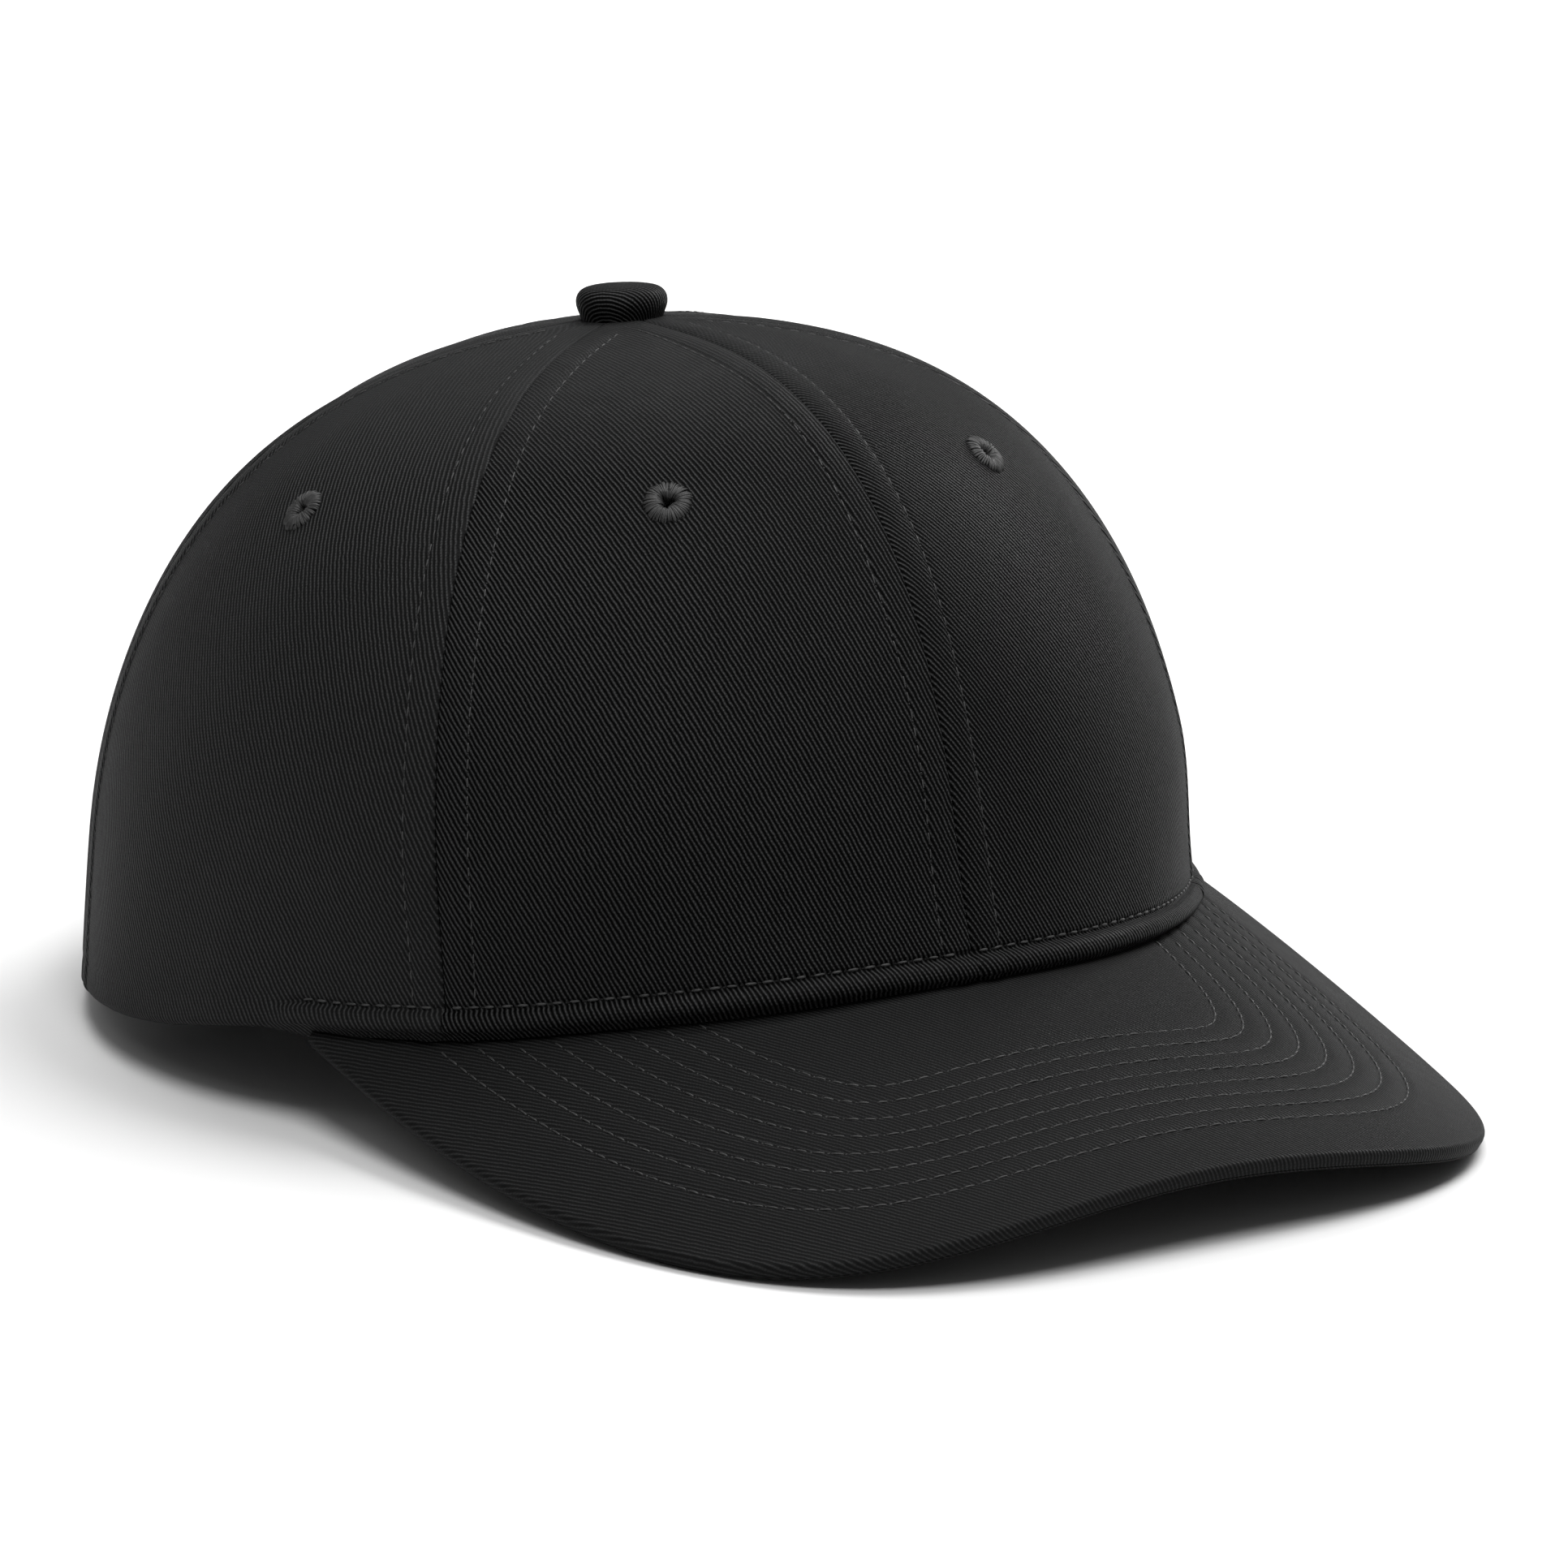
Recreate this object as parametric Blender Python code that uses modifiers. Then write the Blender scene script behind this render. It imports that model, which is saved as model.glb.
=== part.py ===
"""Structured six-panel cap: curved visor, stitched crown, buckled back strap.

The cap is shaped in its own frame, in millimetres: +Z up, the visor towards -Y,
the wearer's left towards +X, and the hem of the back at z = 0.  An empty then
tips it back until the hem and the visor's two lower corners stand on z = 0.
"""
import math

import bpy
from mathutils import Matrix
from mathutils import Vector

MM = 0.001

# Crown: rim, height and the handles of its upright curves (front, side, back)
RIM_HALF_LENGTH = 99.0
RIM_HALF_WIDTH = 94.0
RIM_EGG = 0.011
CROWN_HEIGHT = 108.9
TOP_Y = -4.75
TOP_CONE = 2.7
LOWER_HANDLE = (0.884, 0.798, 0.551)
UPPER_HANDLE = (0.564, 0.502, 0.726)
LEAN = (0.002, -0.0065, -0.02)
HEM_FLARE = 0.014
HEM_FLARE_HEIGHT = 0.12
GORE_FLAT = 0.020
FRONT_SEAM = math.radians(54.9)
REAR_SEAM = math.radians(118.0)
TOP_HOLE_RADIUS = 2.9

# Cloth and board thicknesses, and the gap kept between pieces
GAP = 0.3
HEM_GAP = 0.75
SEAM_EASE = 0.25
BOARD_EASE = 0.15
PANEL_THICK = 1.0
BUCKRAM_THICK = 0.8
TAPE_THICK = 0.5
TAPE_WIDTH = 12.0
BAND_THICK = 1.2
BAND_HEIGHT = 33.0
BAND_DEPTH = 3.8
BAND_DEPTH_AT_TAB = 6.0

# Visor: a slope forward, one bend radius across, and a squarish outline
VISOR_END = math.radians(70.4)
VISOR_ROOT_Z = 5.3
VISOR_SLOPE = 0.349
VISOR_BEND = 167.0
VISOR_REACH = 133.4
VISOR_SWELL = 0.065
VISOR_SQUARE_X = 3.31
VISOR_SQUARE_Y = 2.75
COVER_THICK = 0.5
BOARD_THICK = 1.4
VISOR_THICK = 2 * COVER_THICK + 2 * GAP + BOARD_THICK
VISOR_TUCK = 1.8
VISOR_STEPS = 32

# Eyelets at the middle of each panel (height along the panel, 0 hem to 1 top)
EYELET_FLANGE = 4.2
EYELET_BARREL = 2.1
EYELET_HOLE = 1.1
EYELET_UP_FRONT = 0.457
EYELET_UP_SIDE = 0.475
EYELET_UP_BACK = 0.52

# Covered button
BUTTON_RADIUS = 7.8
BUTTON_HEIGHT = 4.4
BUTTON_COVER = 0.6
BUTTON_SHELL = 0.5
RIVET_RADIUS = 1.5

# Back opening, strap and buckle
OPENING_HALF = 42.0
OPENING_HEIGHT = 54.0
BINDING_WIDTH = 8.0
STRAP_WIDTH = 16.0
STRAP_THICK = 1.4
STRAP_MID_Z = 12.2
STRAP_END = 60.0
STRAP_INSIDE = 36.5
TAB_THICK = 0.7
TAB_WIDTH = 14.0
BUCKLE_AT = 15.0
BUCKLE_HALF = 13.0
BUCKLE_HALF_WIDTH = 10.4
BUCKLE_PLATE = 0.8
CHEEK_THICK = 0.9
PIN_ALONG = 4.5
PIN_OUT = 4.2
PIN_RADIUS = 0.75
KNUCKLE_RADIUS = 1.9
LEVER_THICK = 1.0
LEVER_TIP = -12.0

# Where the cap stands
REST_SINK = 0.4
REST_SHIFT_Y = 31.66


def smooth_step(x):
    x = min(max(x, 0.0), 1.0)
    return x * x * (3.0 - 2.0 * x)


def mix(a, b, k):
    return a + (b - a) * k


def wrap(angle):
    return (angle + math.pi) % (2.0 * math.pi) - math.pi


def rim_xy(t):
    egg = 1.0 - RIM_EGG * math.cos(t)
    return RIM_HALF_WIDTH * math.sin(t) * egg, -RIM_HALF_LENGTH * math.cos(t)


def visor_z(x, y):
    forward = -y - RIM_HALF_LENGTH
    drop = VISOR_BEND - math.sqrt(VISOR_BEND ** 2 - min(x * x, 150.0 ** 2))
    return VISOR_ROOT_Z - VISOR_SLOPE * forward - drop


def rim_z(t):
    past = smooth_step((abs(wrap(t)) - VISOR_END) / math.radians(35.0))
    held = min(abs(wrap(t)), VISOR_END)
    return (1.0 - past) * (visor_z(*rim_xy(held)) + HEM_GAP)


def front_side_back(t, values):
    front = max(math.cos(t), 0.0) ** 1.5
    back = max(-math.cos(t), 0.0) ** 1.5
    side = 1.0 - front - back
    return front * values[0] + side * values[1] + back * values[2]


def gore_dip(t, v):
    """How far a panel sinks between its two seams."""
    seams = (-math.pi, -REAR_SEAM, -FRONT_SEAM, 0.0, FRONT_SEAM, REAR_SEAM, math.pi)
    t = wrap(t)
    for left, right in zip(seams[:-1], seams[1:]):
        if left <= t <= right:
            across = 2.0 * (t - left) / (right - left) - 1.0
            rise = smooth_step((v - 0.08) / 0.25)
            belly = max(math.sin(math.pi * v), 0.0) ** 0.7
            return GORE_FLAT * (1.0 - across * across) * rise * belly
    return 0.0


def crown_point(t, v):
    """Outer face of the crown: t is the plan angle, v runs from hem to top."""
    rim_x, rim_y = rim_xy(t)
    low = rim_z(t)
    handle_low = front_side_back(t, LOWER_HANDLE)
    handle_high = front_side_back(t, UPPER_HANDLE)
    lean = front_side_back(t, LEAN)
    front = max(math.cos(t), 0.0) ** 1.5
    w = 1.0 - v
    weights = (w ** 3, 3 * w * w * v, 3 * w * v * v, v ** 3)
    spread = (1.0, 1.0 + lean, handle_high, 0.0)
    rise = (low, mix(low, CROWN_HEIGHT, handle_low), CROWN_HEIGHT - TOP_CONE, CROWN_HEIGHT)
    scale = sum(a * b for a, b in zip(weights, spread))
    z = sum(a * b for a, b in zip(weights, rise))
    flare = max(1.0 - v / HEM_FLARE_HEIGHT, 0.0) ** 2
    scale += HEM_FLARE * flare * (1.0 - front)
    scale *= 1.0 - gore_dip(t, v)
    return Vector((rim_x * scale, TOP_Y + (rim_y - TOP_Y) * scale, z))


def crown_normal(t, v):
    dt = 0.0006
    dv = 0.004
    low = max(v - dv, 0.0)
    high = min(v + dv, 0.995)
    along = crown_point(t + dt, v) - crown_point(t - dt, v)
    up = crown_point(t, high) - crown_point(t, low)
    return along.cross(up).normalized()


def skin(t, v, depth):
    """A point at a depth under the crown's outer face."""
    return crown_point(t, v) - crown_normal(t, v) * depth


def find_v(t, measure, target):
    low = 0.0
    high = 1.0
    for _ in range(40):
        middle = 0.5 * (low + high)
        if measure(crown_point(t, middle)) < target:
            low = middle
        else:
            high = middle
    return 0.5 * (low + high)


def v_at_height(t, z):
    return find_v(t, lambda p: p.z, z)


def v_at_radius(t, radius):
    return find_v(t, lambda p: -math.hypot(p.x, p.y - TOP_Y), -radius)


def back_angle(s):
    """Plan angle at arc length s along the back hem, from its middle to the left."""
    angle = 0.0
    step = s / 60.0
    for _ in range(60):
        slope_x = RIM_HALF_WIDTH * (1.0 + RIM_EGG) * math.cos(angle)
        slope_y = RIM_HALF_LENGTH * math.sin(angle)
        angle += step / math.hypot(slope_x, slope_y)
    return math.pi - angle


def back_skin(s, z, out):
    """A point over the back of the crown, out from its outer face."""
    t = back_angle(s)
    return skin(t, v_at_height(t, max(z, 0.0)), -out) + Vector((0.0, 0.0, min(z, 0.0)))


def buckle_axes():
    """Origin and axes of the buckle: along the hem to the left, outward, up."""
    t = back_angle(BUCKLE_AT)
    origin = crown_point(t, v_at_height(t, STRAP_MID_Z))
    outward = crown_normal(t, v_at_height(t, STRAP_MID_Z))
    near = back_skin(BUCKLE_AT - 1.0, STRAP_MID_Z, 0.0)
    far = back_skin(BUCKLE_AT + 1.0, STRAP_MID_Z, 0.0)
    along = far - near
    along = (along - outward * along.dot(outward)).normalized()
    return origin, along, outward, along.cross(outward)


def visor_outline(count):
    """Points of the visor's free edge at even steps, right corner to left."""
    corner_x, corner_y = rim_xy(VISOR_END)
    dense = []
    for i in range(721):
        psi = math.radians(-90.0 + 180.0 * i / 720)
        s = math.sin(psi)
        c = math.cos(psi)
        x = corner_x * math.copysign(abs(s) ** (2.0 / VISOR_SQUARE_X), s)
        y = corner_y - VISOR_REACH * abs(c) ** (2.0 / VISOR_SQUARE_Y)
        dense.append(Vector((x * (1.0 + VISOR_SWELL * abs(c)), y)))
    return even_points(dense, count)


def even_points(points, count):
    lengths = [0.0]
    for a, b in zip(points[:-1], points[1:]):
        lengths.append(lengths[-1] + (b - a).length)
    result = []
    index = 0
    for i in range(count + 1):
        target = lengths[-1] * i / count
        while index < len(points) - 2 and lengths[index + 1] < target:
            index += 1
        span = max(lengths[index + 1] - lengths[index], 1e-9)
        result.append(points[index].lerp(points[index + 1], (target - lengths[index]) / span))
    return result


def inset_path(path, distance):
    """Move an open path to the side of its centre line, by a distance."""
    result = []
    for i, point in enumerate(path):
        before = path[max(i - 1, 0)]
        after = path[min(i + 1, len(path) - 1)]
        along = (after - before).normalized()
        result.append(point + Vector((-along.y, along.x)) * distance)
    return result


def visor_point(x, y, depth):
    """A point at a depth under the visor's upper face."""
    tilt_x = x / math.sqrt(VISOR_BEND ** 2 - x * x)
    normal = Vector((tilt_x, -VISOR_SLOPE, 1.0)).normalized()
    return Vector((x, y, visor_z(x, y))) - normal * depth


def visor_rows(depth, inset, along=VISOR_STEPS, out=4):
    outer = inset_path(visor_outline(along), inset)
    rows = []
    for i, edge in enumerate(outer):
        t = VISOR_END * (2.0 * i / along - 1.0)
        hem = Vector(rim_xy(t))
        start = hem - hem.normalized() * VISOR_TUCK
        rows.append([visor_point(*start.lerp(edge, j / out), depth) for j in range(out + 1)])
    return rows




def table_plane():
    """Tilt and lift that set the hem's corners and the visor's corners on z = 0."""
    heel = crown_point(back_angle(OPENING_HALF), 0.0)
    outline = visor_outline(240)
    best = None
    for point in outline:
        low = visor_point(point.x, point.y, VISOR_THICK)
        angle = math.atan2(heel.z + REST_SINK - low.z, heel.y - low.y)
        if best is None or angle > best:
            best = angle
    height = -heel.y * math.sin(best) + (heel.z + REST_SINK) * math.cos(best)
    return best, -height


def new_collection(name):
    collection = bpy.data.collections.new(name)
    bpy.context.scene.collection.children.link(collection)
    return collection


def make_material(name, colour, roughness, metallic=0.0):
    material = bpy.data.materials.new(name)
    material.use_nodes = True
    shader = material.node_tree.nodes["Principled BSDF"]
    shader.inputs["Base Color"].default_value = (*colour, 1.0)
    shader.inputs["Roughness"].default_value = roughness
    shader.inputs["Metallic"].default_value = metallic
    material.diffuse_color = (*colour, 1.0)
    return material


def adopt(obj, collection, material=None, parent=None):
    for old in list(obj.users_collection):
        old.objects.unlink(obj)
    collection.objects.link(obj)
    if material is not None:
        obj.data.materials.clear()
        obj.data.materials.append(material)
    obj.parent = parent
    return obj


def grid_mesh(name, rows, flip=False):
    """An open surface through rows of points, in millimetres."""
    across = len(rows[0])
    verts = [p * MM for row in rows for p in row]
    faces = []
    for i in range(len(rows) - 1):
        for j in range(across - 1):
            a = i * across + j
            face = (a, a + across, a + across + 1, a + 1)
            faces.append(face[::-1] if flip else face)
    mesh = bpy.data.meshes.new(name)
    mesh.from_pydata(verts, [], faces)
    mesh.update()
    return mesh


def sheet(name, rows, thickness, material, flip=False, even=False, centred=False):
    """An open surface given a thickness inward."""
    obj = bpy.data.objects.new(name, grid_mesh(name, rows, flip))
    adopt(obj, PARTS, material, CAP)
    obj.data.shade_smooth()
    solid = obj.modifiers.new("thickness", "SOLIDIFY")
    solid.thickness = thickness * MM
    solid.offset = 0.0 if centred else -1.0
    solid.use_even_offset = even
    return obj


def turned(name, profile, material, location, rotation, steps=24):
    """A closed profile of (radius, height) turned round its axis."""
    mesh = bpy.data.meshes.new(name)
    verts = [(r * MM, 0.0, z * MM) for r, z in profile]
    closed = profile[0][0] > 0.0 and profile[-1][0] > 0.0
    edges = [(i, i + 1) for i in range(len(verts) - 1)]
    if closed:
        edges.append((len(verts) - 1, 0))
    mesh.from_pydata(verts, edges, [])
    obj = bpy.data.objects.new(name, mesh)
    adopt(obj, PARTS, material, CAP)
    obj.location = Vector(location) * MM
    obj.rotation_euler = rotation
    screw = obj.modifiers.new("turn", "SCREW")
    screw.axis = "Z"
    screw.angle = 2.0 * math.pi
    screw.steps = steps
    screw.render_steps = steps
    screw.use_merge_vertices = True
    screw.merge_threshold = 0.00001
    screw.use_smooth_shade = True
    return obj


def cut(obj, cutter, operation="DIFFERENCE"):
    boolean = obj.modifiers.new("cut", "BOOLEAN")
    boolean.operation = operation
    boolean.solver = "EXACT"
    boolean.object = cutter


def cylinder_cutter(name, radius, depth, point, normal):
    bpy.ops.mesh.primitive_cylinder_add(vertices=20, radius=radius * MM, depth=depth * MM)
    obj = bpy.context.object
    obj.name = name
    adopt(obj, CUTTERS, None, CAP)
    obj.location = point * MM
    obj.rotation_euler = normal.to_track_quat("Z", "Y").to_euler()
    hide(obj)
    return obj


def hide(obj):
    obj.hide_render = True
    obj.display_type = "WIRE"


def panel_rows(left, right, v_low, top_radius, depth, across, up, gap=0.25):
    rows = []
    for i in range(across + 1):
        k = i / across
        column = []
        top = v_at_radius(mix(left, right, k), top_radius)
        for j in range(up + 1):
            v = mix(v_low, top, j / up)
            point = crown_point(mix(left, right, k), v)
            radius = math.hypot(point.x, point.y - TOP_Y)
            margin = gap / radius
            t = mix(left + margin, right - margin, k)
            column.append(skin(t, v, depth))
        rows.append(column)
    return rows


def build_crown(cloth, stiff, tape_cloth, thread):
    spans = (
        ("panel_front_left", 0.0, FRONT_SEAM, EYELET_UP_FRONT),
        ("panel_side_left", FRONT_SEAM, REAR_SEAM, EYELET_UP_SIDE),
        ("panel_back_left", REAR_SEAM, math.pi, EYELET_UP_BACK),
        ("panel_front_right", -FRONT_SEAM, 0.0, EYELET_UP_FRONT),
        ("panel_side_right", -REAR_SEAM, -FRONT_SEAM, EYELET_UP_SIDE),
        ("panel_back_right", -math.pi, -REAR_SEAM, EYELET_UP_BACK),
    )
    arch = opening_cutter()
    table = table_cutter()
    for name, left, right, eyelet_up in spans:
        rows = panel_rows(left, right, 0.0, TOP_HOLE_RADIUS, 0.0, 9, 12)
        panel = sheet(name, rows, PANEL_THICK, cloth)
        middle = 0.5 * (left + right)
        point = crown_point(middle, eyelet_up)
        normal = crown_normal(middle, eyelet_up)
        hole_name = name.replace("panel", "eyelet_hole")
        hole = cylinder_cutter(hole_name, EYELET_BARREL + GAP, 12.0, point, normal)
        cut(panel, hole)
        if "back" in name:
            cut(panel, arch)
            cut(panel, table)
        if "front" in name:
            stiff_name = name.replace("panel_front", "buckram")
            depth = PANEL_THICK + GAP + BOARD_EASE
            rows = panel_rows(left, right, 0.03, 14.0, depth, 9, 10, 0.8)
            buckram = sheet(stiff_name, rows, BUCKRAM_THICK, stiff)
            cut(buckram, hole)
        make_eyelet(name.replace("panel", "eyelet"), point, normal, thread)
    build_tapes(tape_cloth)
    build_binding(tape_cloth)


def make_eyelet(name, point, normal, thread):
    inner = PANEL_THICK + GAP + BUCKRAM_THICK + 0.4
    profile = [
        (EYELET_HOLE, 0.8),
        (EYELET_HOLE + 0.6, 1.15),
        (EYELET_FLANGE - 0.9, 1.05),
        (EYELET_FLANGE, 0.35),
        (EYELET_BARREL, 0.35),
        (EYELET_BARREL, -inner),
        (EYELET_HOLE, -inner),
    ]
    turned(name, profile, thread, point, normal.to_track_quat("Z", "Y").to_euler(), 16)


def opening_cutter():
    """The arch over the strap, cut through both back panels."""
    bpy.ops.mesh.primitive_cylinder_add(vertices=46, radius=1.0, depth=2.0)
    obj = bpy.context.object
    obj.name = "opening_arch"
    half = crown_point(back_angle(OPENING_HALF), 0.0).x
    turn = Matrix.Rotation(math.radians(90.0), 4, "X")
    size = Matrix.Diagonal((half * MM, 40.0 * MM, OPENING_HEIGHT * MM, 1.0))
    obj.data.transform(size @ turn)
    adopt(obj, CUTTERS, None, CAP)
    obj.location = (0.0, 95.0 * MM, 0.0)
    hide(obj)
    return obj


def table_cutter():
    """The ground that the cap stands on."""
    bpy.ops.mesh.primitive_cube_add(size=1.0)
    obj = bpy.context.object
    obj.name = "ground"
    obj.data.transform(Matrix.Diagonal((0.4, 0.5, 0.02, 1.0)))
    adopt(obj, CUTTERS)
    obj.location = (0.0, 0.0, -0.01)
    hide(obj)
    return obj


def build_tapes(material):
    over_board = PANEL_THICK + 2 * GAP + BUCKRAM_THICK + SEAM_EASE + BOARD_EASE
    plain = PANEL_THICK + GAP + SEAM_EASE
    above_opening = v_at_height(math.pi, OPENING_HEIGHT + BINDING_WIDTH + 2.0)
    tapes = (
        ("tape_front", 0.0, over_board, 0.05),
        ("tape_front_side_left", FRONT_SEAM, over_board, 0.05),
        ("tape_front_side_right", -FRONT_SEAM, over_board, 0.05),
        ("tape_back_side_left", REAR_SEAM, plain, 0.05),
        ("tape_back_side_right", -REAR_SEAM, plain, 0.05),
        ("tape_back", math.pi, plain, above_opening),
    )
    for name, seam, depth, v_low in tapes:
        v_high = v_at_radius(seam, 15.0)
        rows = []
        for i in range(5):
            column = []
            for j in range(13):
                v = mix(v_low, v_high, j / 12)
                point = crown_point(seam, v)
                radius = math.hypot(point.x, point.y - TOP_Y)
                t = seam + (i / 4 - 0.5) * TAPE_WIDTH / radius
                column.append(skin(t, v, depth))
            rows.append(column)
        sheet(name, rows, TAPE_THICK, material)


def build_binding(material):
    """A strip inside the edge of the back opening, ending above the strap."""
    half = crown_point(back_angle(OPENING_HALF), 0.0).x
    start = math.asin((STRAP_MID_Z + STRAP_WIDTH / 2 + 2.5) / OPENING_HEIGHT)
    rows = []
    for i in range(25):
        angle = mix(start, math.pi - start, i / 24)
        column = []
        for j in range(3):
            out = 0.4 + BINDING_WIDTH * j / 2
            x = (half + out) * math.cos(angle)
            z = (OPENING_HEIGHT + out) * math.sin(angle)
            column.append(inside_point(x, z, PANEL_THICK + GAP + SEAM_EASE))
        rows.append(column)
    sheet("opening_binding", rows, TAPE_THICK, material)


def inside_point(x, z, depth):
    """A point under the back of the crown, at a given x and height."""
    t = math.pi
    for _ in range(30):
        v = v_at_height(t, z)
        error = crown_point(t, v).x - x
        t += error / RIM_HALF_WIDTH
    return skin(t, v_at_height(t, z), depth)


def build_sweatband(material):
    start = back_angle(OPENING_HALF + 2.0)
    rows = []
    count = 48
    for i in range(count + 1):
        t = mix(-start, start, i / count)
        near_tab = smooth_step((t - (start - 0.42)) / 0.12)
        depth = mix(BAND_DEPTH, BAND_DEPTH_AT_TAB, near_tab)
        low = rim_z(t) + 0.7
        column = []
        for j in range(4):
            z = low + BAND_HEIGHT * j / 3
            column.append(skin(t, v_at_height(t, z), depth))
        rows.append(column)
    sheet("sweatband", rows, BAND_THICK, material)


def build_visor(cloth, board, under):
    rows = visor_rows(0.0, 0.0)
    lip = VISOR_THICK - COVER_THICK - GAP
    for row, edge in zip(rows, visor_outline(VISOR_STEPS)):
        row.append(visor_point(edge.x, edge.y, lip))
    sheet("visor_top_cover", rows, COVER_THICK, cloth, flip=True, even=True)
    inset = COVER_THICK + GAP + 0.1
    sheet("visor_board", visor_rows(COVER_THICK + GAP, inset), BOARD_THICK, board, flip=True)
    depth = VISOR_THICK - COVER_THICK
    sheet("visor_under_cover", visor_rows(depth, 0.0), COVER_THICK, under, flip=True)


def build_button(cloth, metal, zinc):
    top = (0.0, TOP_Y, CROWN_HEIGHT)
    r = BUTTON_RADIUS
    h = BUTTON_HEIGHT
    c = BUTTON_COVER
    cover = [
        (0.0, h),
        (r * 0.62, h - 0.25),
        (r * 0.88, h - 0.8),
        (r, h - 1.8),
        (r, 1.3),
        (r - 0.7, 0.35),
        (r - 1.9, 0.35),
        (r - 1.2, 0.95),
        (r - c, 1.5),
        (r - c, h - 2.0),
        (r * 0.88 - c * 0.8, h - 0.8 - c),
        (r * 0.62, h - 0.25 - c),
        (0.0, h - c),
    ]
    turned("button_cover", cover, cloth, top, (0.0, 0.0, 0.0), 28)
    inner = c + GAP
    s = BUTTON_SHELL
    shell = [
        (0.0, h - inner),
        (r * 0.6, h - 0.3 - inner),
        (r - inner - 0.6, h - 1.1 - inner),
        (r - inner, h - 1.9 - inner),
        (r - inner, 1.75),
        (r - inner - s, 1.75),
        (r - inner - s, h - 2.1 - inner),
        (r - inner - 0.8, h - 1.2 - inner - s),
        (r * 0.6, h - 0.3 - inner - s),
        (0.0, h - inner - s),
    ]
    turned("button_shell", shell, metal, top, (0.0, 0.0, 0.0), 24)
    under = -(PANEL_THICK + 2.4)
    rivet = [
        (0.0, 2.5),
        (RIVET_RADIUS, 2.5),
        (4.9, 1.9),
        (4.9, 1.2),
        (RIVET_RADIUS, 1.2),
        (RIVET_RADIUS, under - 1.2),
        (RIVET_RADIUS + 1.3, under - 1.4),
        (RIVET_RADIUS + 1.3, under - 2.0),
        (0.0, under - 2.2),
    ]
    turned("button_rivet", rivet, zinc, top, (0.0, 0.0, 0.0), 20)
    washer = [
        (7.0, under),
        (7.0, under - 0.8),
        (RIVET_RADIUS + GAP, under - 0.8),
        (RIVET_RADIUS + GAP, under),
    ]
    turned("button_washer", washer, zinc, top, (0.0, 0.0, 0.0), 24)


def strap_out(s):
    """How far the strap's middle stands out from the back of the crown."""
    inside = -(PANEL_THICK + GAP + SEAM_EASE + STRAP_THICK / 2)
    over_plate = GAP + STRAP_THICK / 2
    over_tab = over_plate + TAB_THICK + 0.65
    if s < BUCKLE_AT:
        return mix(inside, over_plate, smooth_step((s + STRAP_INSIDE) / 32.0))
    rise = smooth_step((s - BUCKLE_AT - 5.0) / 4.0)
    out = mix(over_plate, over_tab, rise)
    bar_end = BUCKLE_AT + BUCKLE_HALF
    return mix(out, inside, smooth_step((s - bar_end) / (STRAP_INSIDE - bar_end)))


def band_point(s, z, out):
    """Over the back: flat on the buckle's plane near it, round the crown elsewhere."""
    origin, along, outward, up = buckle_axes()
    flat = origin + along * (s - BUCKLE_AT) + outward * out + up * (z - STRAP_MID_Z)
    near = smooth_step((BUCKLE_HALF + 8.0 - abs(s - BUCKLE_AT)) / 8.0)
    return back_skin(s, z, out).lerp(flat, near)


def build_strap(material):
    rows = []
    count = 44
    for i in range(count + 1):
        s = mix(-STRAP_END, STRAP_END - 2.0, i / count)
        column = []
        for j in range(4):
            z = STRAP_MID_Z + STRAP_WIDTH * (j / 3 - 0.5)
            column.append(band_point(s, z, strap_out(s)))
        rows.append(column)
    sheet("closure_strap", rows, STRAP_THICK, material, flip=True, centred=True)


def tab_path():
    """The tab's line: out over the buckle's end bar, round it and back."""
    bar_end = BUCKLE_AT + BUCKLE_HALF
    bar_start = bar_end - 3.0
    over = GAP + TAB_THICK / 2
    below = -(BUCKLE_PLATE + GAP + TAB_THICK / 2)
    outer_in = -(PANEL_THICK + 2 * GAP + 2 * SEAM_EASE + STRAP_THICK + TAB_THICK / 2 + 0.2)
    inner_in = outer_in - TAB_THICK - GAP
    path = []
    for i in range(13):
        s = mix(STRAP_END, bar_end, i / 12)
        k = smooth_step((s - bar_end) / (STRAP_INSIDE - bar_end))
        path.append((s, mix(over, outer_in, k)))
    middle = 0.5 * (over + below)
    radius = 0.5 * (over - below)
    for i in range(7):
        angle = math.pi * i / 6
        path.append((bar_start - 0.2 - radius * math.sin(angle) * 0.9, middle + radius * math.cos(angle)))
    for i in range(13):
        s = mix(bar_end, STRAP_END, i / 12)
        k = smooth_step((s - bar_end) / (STRAP_INSIDE - bar_end))
        path.append((s, mix(below, inner_in, k)))
    return path


def build_tab(material):
    rows = []
    for s, out in tab_path():
        column = []
        for j in range(3):
            z = STRAP_MID_Z + TAB_WIDTH * (j / 2 - 0.5)
            column.append(band_point(s, z, out))
        rows.append(column)
    sheet("buckle_tab", rows, TAB_THICK, material, centred=True, even=True)


def buckle_matrix():
    origin, along, outward, up = buckle_axes()
    matrix = Matrix.Identity(4)
    for row in range(3):
        matrix[row][0] = along[row]
        matrix[row][1] = outward[row]
        matrix[row][2] = up[row]
        matrix[row][3] = origin[row] * MM
    return matrix


def box(name, low, high):
    """A box between two corners, in the buckle's frame."""
    bpy.ops.mesh.primitive_cube_add(size=1.0)
    obj = bpy.context.object
    obj.name = name
    size = [(b - a) * MM for a, b in zip(low, high)]
    middle = [(a + b) * 0.5 * MM for a, b in zip(low, high)]
    obj.data.transform(Matrix.Translation(middle) @ Matrix.Diagonal((*size, 1.0)))
    return obj


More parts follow.
